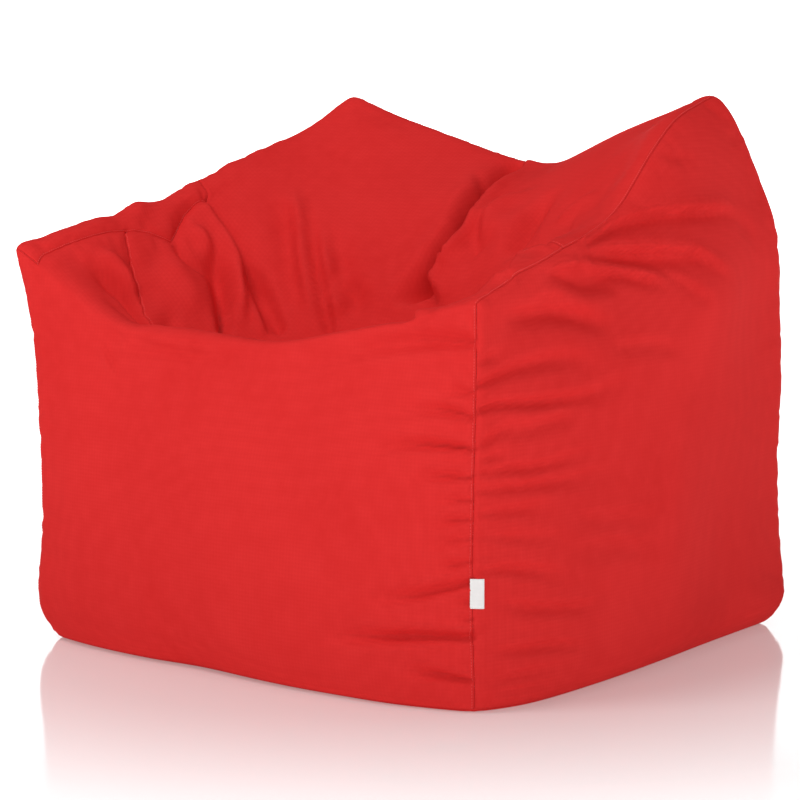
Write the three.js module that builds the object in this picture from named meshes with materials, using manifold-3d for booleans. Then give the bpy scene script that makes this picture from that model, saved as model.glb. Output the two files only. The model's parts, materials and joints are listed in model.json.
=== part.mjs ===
// Bean bag armchair: a box-shaped cover whose skin is pushed in from above to make a seat,
// so that the two rear top corners stand up as ears and the two front top corners as low arms.
// Millimetres, +Z up, the chair faces -Y, the origin is on the floor under the middle of the bounding box.
//
// Outer cover: front panel (rises, turns over the front crest and runs on into the seat), seat-back
// panel, two side panels, rear panel in two strips with a zip between them, base panel.
// Inside: a loose inner bag (liner) of its own panels, closed by a hook-and-loop strip, full of beads.
import * as THREE from "three";

// ---- driving dimensions -------------------------------------------------------------------
const COVER_T = 1.2; // cover cloth with its coating and backing
const LINER_DEPTH = 5.0; // liner's outer face under the cover's outer face, at the sides and top
const LINER_DEPTH_BASE = 1.8; // the same under the floor panel, where the load closes the gap
const LINER_T = 0.8;
const BEAD_DEPTH = 6.3; // beads' outer face under the cover's outer face
const BEAD_DEPTH_BASE = 3.0;
const SEAM_GAP = 0.3; // each panel's edge stops this far short of the seam line
const COLS = 12; // panel divisions left to right
const DEEP = 10; // panel divisions front to back
// Heights of the rows of the upright panels, as shares of the corner's height.
const ROWS = [0, 0.0476, 0.0929, 0.1131, 0.1333, 0.2, 0.29, 0.39, 0.5, 0.61, 0.72, 0.82, 0.91, 1];
const ZIP_ROW = 3; // the row of the rear zip seam
const SEAT_SEAM = 3; // rows from the front crest to the seam across the seat
const LINER_SPLIT = 6; // the liner's rear opening
const ZIP_Z = 95; // zip's centre line above the floor
const ZIP_Y = 440; // plane of the rear panel along the zip
const ZIP_HALF = 245; // half of the tape's length
const ZIP_OPEN = 8; // half of the height of the slot that the zip shows in
const ZIP_BAND = 17; // half of the height of the flat band around the zip
const SHIFT = [-0.82, 0.6, 0]; // moves the bounding box over the origin

// ---- the lines the cover is cut and filled to ----------------------------------------------
const EDGE_L = [[-402,-380,0],[-424,-402,52],[-413,-404,146],[-415,-404,235],[-417,-404,330],[-425,-404,432],[-440,-405,524],[-453,-407,607]];
const EDGE_N = [[424,-402,0],[428,-410,50],[424,-412,150],[422,-412,240],[420,-411,330],[418,-408,420],[416,-404,500],[414,-401,568]];
const EDGE_R = [[416,386,0],[446,400,42],[436,400,110],[429,400,200],[428,400,350],[432,399,500],[432,396,610],[410,380,700],[382,348,790],[349,312,840]];
const EDGE_F = [[-412,382,0],[-428,400,45],[-424,402,110],[-418,402,200],[-418,402,350],[-420,400,500],[-415,390,620],[-395,365,710],[-372,332,780],[-349,292,834]];
const CREST = [[-453,-407,607],[-360,-398,549],[-258,-386,489],[-185,-384,487],[-65,-386,486],[65,-388,484],[190,-388,505],[266,-390,527],[318,-393,545],[360,-396,557],[414,-401,568]];
const BACK_TOP = [[-349,292,834],[-260,300,806],[-175,308,780],[-90,316,753],[-20,322,731],[25,324,727],[70,323,730],[140,320,756],[210,317,786],[280,314,815],[349,312,840]];
const RIDGE_L = [[-453,-407,607],[-438,-338,624],[-430,-237,650],[-428,-168,668],[-427,-97,682],[-421,-4,708],[-402,128,752],[-378,220,792],[-349,292,834]];
const RIDGE_R = [[414,-401,568],[412,-320,592],[410,-234,614],[408,-169,632],[406,-95,656],[404,-33,684],[398,23,724],[388,90,768],[374,170,806],[349,312,840]];
const BASE_F = [[-402,-380,0],[-300,-402,0],[-178,-413,0],[-74,-412,0],[40,-428,0],[133,-437,0],[267,-438,0],[350,-424,0],[424,-402,0]];
const BASE_B = [[-412,382,0],[-280,412,0],[-100,428,0],[100,428,0],[280,414,0],[416,386,0]];
const BASE_L = [[-402,-380,0],[-420,-260,0],[-438,-90,0],[-440,80,0],[-428,240,0],[-412,382,0]];
const BASE_R = [[424,-402,0],[446,-310,0],[450,-143,0],[440,36,0],[428,190,0],[416,386,0]];
// Points of the sunken seat skin, between the rims.
const SAG = [
  [0,255,702],[0,200,682],[0,113,630],[0,47,580],[0,-5,520],[0,-60,450],[0,-130,412],[0,-220,416],[0,-300,448],[0,-345,472],
  [-110,240,716],[-200,200,728],[-290,190,752],[-110,120,648],[-200,90,655],[-300,90,690],[-110,20,570],[-200,-10,575],[-290,0,620],[-340,60,690],
  [110,240,722],[200,230,752],[290,220,778],[110,120,660],[200,100,680],[300,90,715],[110,10,575],[200,-20,590],[300,-30,630],[360,60,722],
  [-110,-70,460],[-110,-150,425],[-110,-250,425],[-110,-330,462],[110,-70,465],[110,-150,430],[110,-250,432],[110,-330,466],
  [-220,-80,505],[-220,-160,470],[-220,-250,450],[-220,-330,470],[220,-80,525],[220,-160,490],[220,-250,475],[220,-330,492],
  [-310,-100,575],[-310,-190,540],[-310,-280,515],[-310,-345,515],[310,-100,600],[310,-190,570],[310,-280,545],[310,-345,540],
  [-370,-90,635],[-370,-190,610],[-375,-290,590],[370,-90,645],[370,-190,618],[370,-290,585],
];
const BULGE_FRONT = 34, BULGE_SIDE = 30, BULGE_BACK = 30, BULGE_PEAK = 0.42;

// ---- small vector and curve tools ----------------------------------------------------------
const add = (a, b, k = 1) => [a[0] + b[0] * k, a[1] + b[1] * k, a[2] + b[2] * k];
const sub = (a, b) => [a[0] - b[0], a[1] - b[1], a[2] - b[2]];
const mul = (a, k) => [a[0] * k, a[1] * k, a[2] * k];
const dot = (a, b) => a[0] * b[0] + a[1] * b[1] + a[2] * b[2];
const cross = (a, b) => [a[1] * b[2] - a[2] * b[1], a[2] * b[0] - a[0] * b[2], a[0] * b[1] - a[1] * b[0]];
const len = (a) => Math.hypot(a[0], a[1], a[2]);
const unit = (a) => mul(a, 1 / (len(a) || 1));
const lerp = (a, b, t) => add(mul(a, 1 - t), b, t);
const smooth = (t) => ((t = Math.min(1, Math.max(0, t))), t * t * (3 - 2 * t));

// A Catmull-Rom line through the points, as many short steps.
function dense(p) {
  const first = sub(mul(p[0], 2), p[1]), n = p.length;
  const last = sub(mul(p[n - 1], 2), p[n - 2]);
  const q = [first, ...p, last], out = [];
  for (let i = 1; i < q.length - 2; i++)
    for (let s = 0; s < 24; s++) {
      const t = s / 24, [a, b, c, d] = [q[i - 1], q[i], q[i + 1], q[i + 2]];
      out.push([0, 1, 2].map((k) =>
        0.5 * (2 * b[k] + (c[k] - a[k]) * t + (2 * a[k] - 5 * b[k] + 4 * c[k] - d[k]) * t * t +
          (3 * b[k] - a[k] - 3 * c[k] + d[k]) * t * t * t)));
    }
  out.push(p[n - 1]);
  return out;
}
// Points at the given shares of a measure that grows along the line.
function at(line, measure, shares) {
  const total = measure[measure.length - 1];
  return shares.map((f) => {
    const want = f * total;
    let i = 1;
    while (i < measure.length - 1 && measure[i] < want) i++;
    const span = measure[i] - measure[i - 1] || 1;
    return lerp(line[i - 1], line[i], Math.min(1, Math.max(0, (want - measure[i - 1]) / span)));
  });
}
const even = (n) => Array.from({ length: n + 1 }, (_, i) => i / n);
function along(p, n) {
  const d = dense(p), m = [0];
  for (let i = 1; i < d.length; i++) m.push(m[i - 1] + len(sub(d[i], d[i - 1])));
  return at(d, m, even(n));
}
function upright(p) {
  const d = dense(p);
  return at(d, d.map((q) => q[2]), ROWS);
}
// A surface spanned between four border lines: rows run up, columns run across.
function span(bottom, top, left, right, vs) {
  const nu = bottom.length - 1, nv = left.length - 1, g = [];
  for (let j = 0; j <= nv; j++) {
    const v = vs ? vs[j] : j / nv, row = [];
    for (let i = 0; i <= nu; i++) {
      const u = i / nu;
      let p = add(mul(bottom[i], 1 - v), top[i], v);
      p = add(p, left[j], 1 - u);
      p = add(p, right[j], u);
      p = add(p, bottom[0], -(1 - u) * (1 - v));
      p = add(p, bottom[nu], -u * (1 - v));
      p = add(p, top[0], -(1 - u) * v);
      p = add(p, top[nu], -u * v);
      row.push(p);
    }
    g.push(row);
  }
  return g;
}
function bulge(g, axis, amount, vs) {
  const k = Math.log(0.5) / Math.log(BULGE_PEAK), nu = g[0].length - 1;
  g.forEach((row, j) => row.forEach((p, i) => {
    p[axis] += amount * Math.sin(Math.PI * vs[j] ** k) * Math.sin((Math.PI * i) / nu) ** 0.75;
  }));
  return g;
}
// Thin-plate surface through scattered heights.
function plate(points, stiffness) {
  const n = points.length, m = n + 3;
  const kernel = (d) => (d > 0 ? d * d * Math.log(d) : 0);
  const A = Array.from({ length: m }, () => new Float64Array(m + 1));
  for (let i = 0; i < n; i++) {
    for (let j = 0; j < n; j++)
      A[i][j] = kernel(Math.hypot(points[i][0] - points[j][0], points[i][1] - points[j][1]) / 100);
    A[i][i] += stiffness;
    const poly = [1, points[i][0] / 100, points[i][1] / 100];
    poly.forEach((x, k) => { A[i][n + k] = x; A[n + k][i] = x; });
    A[i][m] = points[i][2];
  }
  for (let c = 0; c < m; c++) {
    let best = c;
    for (let r = c + 1; r < m; r++) if (Math.abs(A[r][c]) > Math.abs(A[best][c])) best = r;
    [A[c], A[best]] = [A[best], A[c]];
    for (let r = c + 1; r < m; r++) {
      const f = A[r][c] / A[c][c];
      if (f) for (let k = c; k <= m; k++) A[r][k] -= f * A[c][k];
    }
  }
  const w = new Float64Array(m);
  for (let r = m - 1; r >= 0; r--) {
    let s = A[r][m];
    for (let k = r + 1; k < m; k++) s -= A[r][k] * w[k];
    w[r] = s / A[r][r];
  }
  return (x, y) => {
    let z = w[n] + (w[n + 1] * x) / 100 + (w[n + 2] * y) / 100;
    for (let i = 0; i < n; i++) z += w[i] * kernel(Math.hypot(x - points[i][0], y - points[i][1]) / 100);
    return z;
  };
}

// ---- the cover's outer face, as six grids of points -----------------------------------------
const L = upright(EDGE_L), N = upright(EDGE_N), R = upright(EDGE_R), F = upright(EDGE_F);
const crest = along(CREST, COLS), backTop = along(BACK_TOP, COLS);
const ridgeL = along(RIDGE_L, DEEP), ridgeR = along(RIDGE_R, DEEP);
const baseF = along(BASE_F, COLS), baseB = along(BASE_B, COLS);
const baseL = along(BASE_L, DEEP), baseR = along(BASE_R, DEEP);

const front = bulge(span(baseF, crest, L, N, ROWS), 1, -BULGE_FRONT, ROWS);
const right = bulge(span(baseR, ridgeR, N, R, ROWS), 0, BULGE_SIDE, ROWS);
const left = bulge(span(baseL, ridgeL, L, F, ROWS), 0, -BULGE_SIDE, ROWS);
const floor = span(baseF, baseB, baseL, baseR);

// The rear face is flat and upright in a band around the zip, and swells above it.
function bandRow(z, j) {
  return even(COLS).map((u) => {
    const x = F[j][0] + (R[j][0] - F[j][0]) * u;
    const inner = smooth((Math.abs(x - (F[j][0] + R[j][0]) / 2) - 290) / 140);
    const edgeY = F[j][1] + (R[j][1] - F[j][1]) * u, edgeZ = F[j][2] + (R[j][2] - F[j][2]) * u;
    return [x, ZIP_Y + (edgeY - ZIP_Y) * inner, z + (edgeZ - z) * inner];
  });
}
const bandLow = bandRow(ZIP_Z - ZIP_BAND, ZIP_ROW - 1);
const bandMid = bandRow(ZIP_Z, ZIP_ROW);
const bandHigh = bandRow(ZIP_Z + ZIP_BAND, ZIP_ROW + 1);
const lowRows = ROWS.slice(0, ZIP_ROW).map((r) => r / ROWS[ZIP_ROW - 1]);
const highRows = ROWS.slice(ZIP_ROW + 1).map((r) => (r - ROWS[ZIP_ROW + 1]) / (1 - ROWS[ZIP_ROW + 1]));
const rear = [
  ...span(baseB, bandLow, F.slice(0, ZIP_ROW), R.slice(0, ZIP_ROW), lowRows),
  bandMid,
  ...bulge(span(bandHigh, backTop, F.slice(ZIP_ROW + 1), R.slice(ZIP_ROW + 1), highRows), 1, BULGE_BACK, highRows),
];

// The seat skin sags between its rims through the SAG points.
const seat = span(crest, backTop, ridgeL, ridgeR);
const rims = [...along(CREST, 12), ...along(BACK_TOP, 12), ...along(RIDGE_L, 10).slice(1, -1), ...along(RIDGE_R, 10).slice(1, -1)];
const sag = plate([...rims, ...SAG], 0.02);
seat.forEach((row, j) => row.forEach((p, i) => {
  const e = smooth(Math.min(i / COLS, 1 - i / COLS, j / DEEP, 1 - j / DEEP) * 12);
  p[2] = p[2] * (1 - e) + sag(p[0], p[1]) * e;
}));

const grids = { front, right, rear, left, floor, seat };
for (const g of Object.values(grids)) g.forEach((row) => row.forEach((p) => SHIFT.forEach((s, k) => { p[k] += s; })));

// ---- one closed skin, for the inward direction at each point ---------------------------------
const key = (p) => p.map((x) => Math.round(x * 50)).join();
const inward = new Map(); // point -> { n: summed normal, faces: unit normals }
const turned = { front: false, right: false, rear: true, left: true, floor: true, seat: false };
for (const [name, g] of Object.entries(grids))
  for (let j = 0; j < g.length - 1; j++)
    for (let i = 0; i < g[0].length - 1; i++) {
      const quad = [g[j][i], g[j][i + 1], g[j + 1][i + 1], g[j + 1][i]];
      let n = cross(sub(quad[2], quad[0]), sub(quad[3], quad[1]));
      if (turned[name]) n = mul(n, -1);
      const u = unit(n);
      for (const p of quad) {
        const k = key(p), e = inward.get(k) || { sum: [0, 0, 0], all: [] };
        e.sum = add(e.sum, u);
        e.all.push(u);
        inward.set(k, e);
      }
    }
// The step from a point of the outer face to a face that lies `depth` under it.
function step(p, depth, depthBase = depth) {
  const e = inward.get(key(p)), m = unit(e.sum);
  const reach = Math.max(0.55, e.all.reduce((s, n) => s + dot(n, m), 0) / e.all.length);
  const v = mul(m, -1 / reach);
  return [v[0] * depth, v[1] * depth, v[2] * (v[2] > 0.3 ? depthBase : depth)];
}

// Every layer splits a cell along the same diagonal, so the layers never cross.
const split = (a, b, c, d) => (len(sub(a, c)) <= len(sub(b, d)) ? [[0, 1, 2], [0, 2, 3]] : [[0, 1, 3], [1, 2, 3]]);

// ---- solids ---------------------------------------------------------------------------------
function solid(verts, quads) {
  const index = [];
  for (const q of quads) {
    if (q.length === 3) { index.push(...q); continue; }
    const [a, b, c, d] = q;
    if (len(sub(verts[a], verts[c])) <= len(sub(verts[b], verts[d]))) index.push(a, b, c, a, c, d);
    else index.push(a, b, d, b, c, d);
  }
  const g = new THREE.BufferGeometry();
  g.setAttribute("position", new THREE.Float32BufferAttribute(verts.flat(), 3));
  g.setIndex(index);
  g.computeVertexNormals();
  return g;
}
// A sheet of cloth of thickness thick whose outer face is the grid, moved under the skin by depth.
function sheet(g, flip, { depth = 0, base = depth, thick = COVER_T, baseThick = thick, gap = SEAM_GAP, lift = null } = {}) {
  const nj = g.length, ni = g[0].length, verts = [], id = (k, j, i) => (k * nj + j) * ni + i;
  const nudge = (j, i, p) => {
    const pull = [0, 0, 0];
    const toward = (q, by) => { const d = unit(sub(q, g[j][i])); for (let k = 0; k < 3; k++) pull[k] += d[k] * by; };
    if (j === 0) toward(g[1][i], gap);
    if (j === nj - 1) toward(g[nj - 2][i], gap);
    if (i === 0) toward(g[j][1], gap);
    if (i === ni - 1) toward(g[j][ni - 2], gap);
    return add(p, pull);
  };
  for (const [d, b] of [[depth, base], [depth + thick, base + baseThick]])
    for (let j = 0; j < nj; j++)
      for (let i = 0; i < ni; i++) {
        let p = add(g[j][i], step(g[j][i], d, b));
        p = nudge(j, i, p);
        if (lift) p = lift(p, j, i);
        verts.push(p);
      }
  const quads = [];
  const put = (a, b, c, d) => quads.push(flip ? [d, c, b, a] : [a, b, c, d]);
  for (let j = 0; j < nj - 1; j++)
    for (let i = 0; i < ni - 1; i++) {
      const o = [id(0, j, i), id(0, j, i + 1), id(0, j + 1, i + 1), id(0, j + 1, i)];
      const n = o.map((v) => v + nj * ni);
      for (const [x, y, z] of split(g[j][i], g[j][i + 1], g[j + 1][i + 1], g[j + 1][i])) {
        quads.push(flip ? [o[z], o[y], o[x]] : [o[x], o[y], o[z]]);
        quads.push(flip ? [n[x], n[y], n[z]] : [n[z], n[y], n[x]]);
      }
    }
  for (let i = 0; i < ni - 1; i++) {
    put(id(1, 0, i), id(1, 0, i + 1), id(0, 0, i + 1), id(0, 0, i));
    put(id(0, nj - 1, i), id(0, nj - 1, i + 1), id(1, nj - 1, i + 1), id(1, nj - 1, i));
  }
  for (let j = 0; j < nj - 1; j++) {
    put(id(0, j, 0), id(0, j + 1, 0), id(1, j + 1, 0), id(1, j, 0));
    put(id(1, j, ni - 1), id(1, j + 1, ni - 1), id(0, j + 1, ni - 1), id(0, j, ni - 1));
  }
  return solid(verts, quads);
}
// The closed body of beads, one skin right round.
function body(depth, base) {
  const verts = [], ids = new Map(), tris = [];
  const idOf = (p) => {
    const k = key(p);
    if (!ids.has(k)) { ids.set(k, verts.length); verts.push(add(p, step(p, depth, base))); }
    return ids.get(k);
  };
  for (const [name, g] of Object.entries(grids))
    for (let j = 0; j < g.length - 1; j++)
      for (let i = 0; i < g[0].length - 1; i++) {
        const pts = [g[j][i], g[j][i + 1], g[j + 1][i + 1], g[j + 1][i]], o = pts.map(idOf);
        for (const [x, y, z] of split(...pts)) tris.push(turned[name] ? [o[z], o[y], o[x]] : [o[x], o[y], o[z]]);
      }
  return solid(verts, tris);
}
// A point part of the way between grid points, moved under the skin.
function between(g, j, i, depth) {
  const j0 = Math.min(Math.floor(j), g.length - 2), i0 = Math.min(Math.floor(i), g[0].length - 2), v = j - j0, u = i - i0;
  const c = [[j0, i0], [j0, i0 + 1], [j0 + 1, i0], [j0 + 1, i0 + 1]].map(([a, b]) => add(g[a][b], step(g[a][b], depth)));
  return lerp(lerp(c[0], c[1], u), lerp(c[2], c[3], u), v);
}
// A flat strip lying under the rear face, between two rows and two columns.
function strip(g, js, is, outer, inner) {
  const verts = [], nj = js.length, ni = is.length, id = (k, j, i) => (k * nj + j) * ni + i, quads = [];
  for (const d of [outer, inner]) for (const j of js) for (const i of is) verts.push(between(g, j, i, d));
  for (let j = 0; j < nj - 1; j++)
    for (let i = 0; i < ni - 1; i++) {
      quads.push([id(0, j, i), id(0, j + 1, i), id(0, j + 1, i + 1)], [id(0, j, i), id(0, j + 1, i + 1), id(0, j, i + 1)]);
      quads.push([id(1, j, i), id(1, j + 1, i + 1), id(1, j + 1, i)], [id(1, j, i), id(1, j, i + 1), id(1, j + 1, i + 1)]);
    }
  for (let i = 0; i < ni - 1; i++) {
    quads.push([id(0, 0, i), id(0, 0, i + 1), id(1, 0, i + 1), id(1, 0, i)]);
    quads.push([id(1, nj - 1, i), id(1, nj - 1, i + 1), id(0, nj - 1, i + 1), id(0, nj - 1, i)]);
  }
  for (let j = 0; j < nj - 1; j++) {
    quads.push([id(1, j, 0), id(1, j + 1, 0), id(0, j + 1, 0), id(0, j, 0)]);
    quads.push([id(0, j, ni - 1), id(0, j + 1, ni - 1), id(1, j + 1, ni - 1), id(1, j, ni - 1)]);
  }
  return solid(verts, quads);
}

// ---- finishes -------------------------------------------------------------------------------
const paint = (color, roughness, metalness = 0) => new THREE.MeshStandardMaterial({ color, roughness, metalness });
const RED_CLOTH = paint(0xd32f2f, 0.55), LINER_CLOTH = paint(0xeeeeea, 0.8), BEADS = paint(0xf8f8f8, 0.9);
const TAPE = paint(0xc42a2a, 0.75), COIL = paint(0xb82424, 0.4), LABEL = paint(0xf4f2f0, 0.6);
const METAL = paint(0xb9bcc0, 0.3, 1), STRIP = paint(0xe6e6e2, 0.95);

const chair = new THREE.Group();
function piece(name, geometry, material, parent = chair) {
  const m = new THREE.Mesh(geometry, material);
  m.name = name;
  parent.add(m);
  return m;
}

// ---- outer cover ----------------------------------------------------------------------------
const frontStrip = [...front, ...seat.slice(1, SEAT_SEAM + 1)];
const noLower = (p) => [p[0], p[1], Math.max(p[2], 0)];
piece("front_panel", sheet(frontStrip, false, { lift: noLower }), RED_CLOTH);
piece("seat_back_panel", sheet(seat.slice(SEAT_SEAM), false), RED_CLOTH);
piece("right_side_panel", sheet(right, false, { lift: noLower }), RED_CLOTH);
piece("left_side_panel", sheet(left, true, { lift: noLower }), RED_CLOTH);
// The rear strips part around the zip: a slot in the middle, sewn shut towards the corners.
const slot = (p) => ZIP_OPEN * (Math.abs(p[0] - SHIFT[0]) < 235 ? 1 : 0);
piece("rear_panel_lower", sheet(rear.slice(0, ZIP_ROW + 1), true,
  { lift: (p, j) => [p[0], p[1], Math.max(0, p[2] - (j === ZIP_ROW ? slot(p) : 0))] }), RED_CLOTH);
piece("rear_panel_upper", sheet(rear.slice(ZIP_ROW), true,
  { lift: (p, j) => [p[0], p[1], p[2] + (j === 0 ? slot(p) : 0)] }), RED_CLOTH);
piece("base_panel", sheet(floor, true, { gap: 1.2, lift: (p, j, i) => p }), RED_CLOTH);

// ---- labels ---------------------------------------------------------------------------------
// A blank flag label, sewn into the front right seam and lying back along the side.
const FLAG_W = 20, FLAG_H = 41, FLAG_Z = 146, FLAG_T = 0.8, FLAG_ANGLE = 21;
const flag = new THREE.BoxGeometry(FLAG_T, FLAG_W, FLAG_H).translate(FLAG_T / 2, FLAG_W / 2, FLAG_H / 2);
const flagMesh = piece("flag_label", flag, LABEL);
flagMesh.position.set(425.2 + SHIFT[0], -412.6 + SHIFT[1], FLAG_Z);
flagMesh.rotation.z = -THREE.MathUtils.degToRad(FLAG_ANGLE);
piece("care_label", strip(rear, [5.15, 5.85], [3.2, 3.7], 2.2, 2.6), LABEL);

// ---- rear zip -------------------------------------------------------------------------------
const [CX, CY] = SHIFT;
const bar = (x0, x1, y0, y1, z0, z1) => new THREE.BoxGeometry(x1 - x0, y1 - y0, z1 - z0)
  .translate((x0 + x1) / 2 + CX, (y0 + y1) / 2 + CY, (z0 + z1) / 2);
const TAPE_OUT = ZIP_Y - COVER_T - 0.3, TAPE_IN = TAPE_OUT - 0.7;
piece("zip_tape_upper", bar(-ZIP_HALF, ZIP_HALF, TAPE_IN, TAPE_OUT, ZIP_Z + 1.3, ZIP_Z + 14), TAPE);
piece("zip_tape_lower", bar(-ZIP_HALF, ZIP_HALF, TAPE_IN, TAPE_OUT, ZIP_Z - 14, ZIP_Z - 1.3), TAPE);
// A coil is a half-round rod laid on the tape's edge.
function coil(side) {
  const s = new THREE.Shape();
  s.moveTo(1.1, 0);
  s.lineTo(3.5, 0);
  s.lineTo(3.5, 1.2);
  s.lineTo(2.9, 1.9);
  s.lineTo(1.7, 1.9);
  s.lineTo(1.1, 1.2);
  s.closePath();
  const g = new THREE.ExtrudeGeometry(s, { depth: 2 * 221, bevelEnabled: false });
  // shape x -> height above the centre line, shape y -> out of the tape, depth -> along X
  const m = new THREE.Matrix4().set(0, 0, 1, -221 + CX, 0, 1, 0, TAPE_OUT + 0.3 + CY, side, 0, 0, ZIP_Z, 0, 0, 0, 1);
  g.applyMatrix4(m);
  if (m.determinant() < 0) {
    const i = g.attributes.position;
    for (let t = 0; t < i.count; t += 3) {
      const a = [i.getX(t), i.getY(t), i.getZ(t)], b = [i.getX(t + 1), i.getY(t + 1), i.getZ(t + 1)];
      i.setXYZ(t, ...b);
      i.setXYZ(t + 1, ...a);
    }
  }
  return g;
}
piece("zip_coil_upper", coil(1), COIL);
piece("zip_coil_lower", coil(-1), COIL);
piece("zip_stop_right", bar(222, 226, TAPE_OUT + 0.3, TAPE_OUT + 2.8, ZIP_Z - 3.6, ZIP_Z + 3.6), METAL);
piece("zip_stop_left", bar(-226, -222, TAPE_OUT + 0.3, TAPE_OUT + 2.8, ZIP_Z - 3.6, ZIP_Z + 3.6), METAL);

// Slider: two wings joined by a neck between the coils, flanges outside them, and a bridge for the pull.
import Module from "manifold-3d";
import { mergeVertices } from "three/addons/utils/BufferGeometryUtils.js";
const wasm = await Module();
wasm.setup();
function toSolid(g) {
  const c = g.clone();
  c.deleteAttribute("normal");
  c.deleteAttribute("uv");
  const m = mergeVertices(c, 1e-4);
  return new wasm.Manifold(new wasm.Mesh({ numProp: 3, vertProperties: new Float32Array(m.attributes.position.array), triVerts: new Uint32Array(m.index.array) }));
}
function fromSolid(s) {
  const m = s.getMesh(), g = new THREE.BufferGeometry();
  g.setAttribute("position", new THREE.BufferAttribute(new Float32Array(m.vertProperties), 3));
  g.setIndex(new THREE.BufferAttribute(new Uint32Array(m.triVerts), 1));
  g.computeVertexNormals();
  return g;
}
const join = (list) => fromSolid(list.map(toSolid).reduce((a, b) => a.add(b)));
const SX = 214; // slider's middle, zip closed
const COIL_TOP = TAPE_OUT + 2.2, WING = COIL_TOP + 0.35;
piece("zip_slider", join([
  bar(SX - 5.5, SX + 5.5, WING, WING + 1.2, ZIP_Z - 5, ZIP_Z + 5),
  bar(SX - 5.5, SX + 5.5, TAPE_OUT + 0.35, WING + 0.2, ZIP_Z + 3.95, ZIP_Z + 5),
  bar(SX - 5.5, SX + 5.5, TAPE_OUT + 0.35, WING + 0.2, ZIP_Z - 5, ZIP_Z - 3.95),
  bar(SX - 5.5, SX + 5.5, TAPE_IN - 1.4, TAPE_IN - 0.35, ZIP_Z - 4.4, ZIP_Z + 4.4),
  bar(SX + 1, SX + 4.5, TAPE_IN - 0.5, WING + 0.2, ZIP_Z - 0.8, ZIP_Z + 0.8),
  bar(SX - 4.9, SX - 3.7, WING + 1, WING + 5.2, ZIP_Z - 1.2, ZIP_Z + 1.2),
  bar(SX + 3.7, SX + 4.9, WING + 1, WING + 5.2, ZIP_Z - 1.2, ZIP_Z + 1.2),
  bar(SX - 4.9, SX + 4.9, WING + 4, WING + 5.2, ZIP_Z - 1.2, ZIP_Z + 1.2),
]), METAL);
// Pull: a tab whose eye goes round the bridge; it swings about an upright axis.
const PULL_Y = WING + 2.6;
piece("zip_pull", join([
  bar(SX - 0.8, SX + 0.8, PULL_Y - 0.8, PULL_Y + 0.8, ZIP_Z - 3.4, ZIP_Z + 3.4),
  bar(SX - 9, SX + 0.8, PULL_Y - 0.8, PULL_Y + 0.8, ZIP_Z + 2, ZIP_Z + 3.4),
  bar(SX - 9, SX + 0.8, PULL_Y - 0.8, PULL_Y + 0.8, ZIP_Z - 3.4, ZIP_Z - 2),
  bar(SX - 31, SX - 8.5, PULL_Y - 0.8, PULL_Y + 0.8, ZIP_Z - 4, ZIP_Z + 4),
]), METAL);

// ---- inner bag and its filling ----------------------------------------------------------------
const inner = { depth: LINER_DEPTH, base: LINER_DEPTH_BASE, thick: LINER_T, baseThick: 0.7 };
piece("liner_front", sheet(front, false, inner), LINER_CLOTH);
piece("liner_top", sheet(seat, false, inner), LINER_CLOTH);
piece("liner_right", sheet(right, false, inner), LINER_CLOTH);
piece("liner_left", sheet(left, true, inner), LINER_CLOTH);
piece("liner_rear_lower", sheet(rear.slice(0, LINER_SPLIT + 1), true, inner), LINER_CLOTH);
piece("liner_rear_upper", sheet(rear.slice(LINER_SPLIT), true, inner), LINER_CLOTH);
piece("liner_base", sheet(floor, true, inner), LINER_CLOTH);
const closureCols = [3, 4, 5, 6, 7, 8, 9];
piece("closure_loop_tape", strip(rear, [LINER_SPLIT - 0.25, LINER_SPLIT, LINER_SPLIT + 0.25], closureCols, 3.9, 4.6), STRIP);
piece("closure_hook_tape", strip(rear, [LINER_SPLIT - 0.22, LINER_SPLIT, LINER_SPLIT + 0.22], closureCols, 2.9, 3.6), STRIP);
piece("bead_fill", body(BEAD_DEPTH, BEAD_DEPTH_BASE), BEADS);

export default chair;
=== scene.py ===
"""Bean bag armchair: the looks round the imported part.

The cover is cut and shaped here again from the same lines as the CAD part, on a fine grid, then creased,
settled as cloth, and cut along its seams into panels. Millimetres inside, metres in the scene.
"""
import json
import math

import bmesh
import bpy
import numpy as np
from mathutils import Matrix, Vector

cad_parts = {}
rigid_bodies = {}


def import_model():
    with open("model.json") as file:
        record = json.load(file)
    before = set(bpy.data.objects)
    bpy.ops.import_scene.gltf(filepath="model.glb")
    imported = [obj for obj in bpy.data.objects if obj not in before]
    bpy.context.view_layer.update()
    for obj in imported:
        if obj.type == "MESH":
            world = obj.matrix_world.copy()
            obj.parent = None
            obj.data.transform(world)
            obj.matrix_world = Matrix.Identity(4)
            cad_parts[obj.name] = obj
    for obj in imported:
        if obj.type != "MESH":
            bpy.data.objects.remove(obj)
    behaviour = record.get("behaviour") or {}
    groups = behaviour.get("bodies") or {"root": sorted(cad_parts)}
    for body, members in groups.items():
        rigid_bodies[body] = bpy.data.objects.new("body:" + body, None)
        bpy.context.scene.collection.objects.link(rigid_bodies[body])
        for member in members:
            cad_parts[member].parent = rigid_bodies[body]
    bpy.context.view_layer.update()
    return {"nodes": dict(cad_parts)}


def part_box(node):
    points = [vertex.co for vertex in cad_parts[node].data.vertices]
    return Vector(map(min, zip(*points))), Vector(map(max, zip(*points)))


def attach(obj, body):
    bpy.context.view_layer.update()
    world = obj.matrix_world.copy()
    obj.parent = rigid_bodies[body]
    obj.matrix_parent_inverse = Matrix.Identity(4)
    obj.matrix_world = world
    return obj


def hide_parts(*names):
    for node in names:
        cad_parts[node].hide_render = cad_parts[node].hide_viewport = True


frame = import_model()
SHIFT = np.array([-0.82, 0.6, 0.0])

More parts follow.
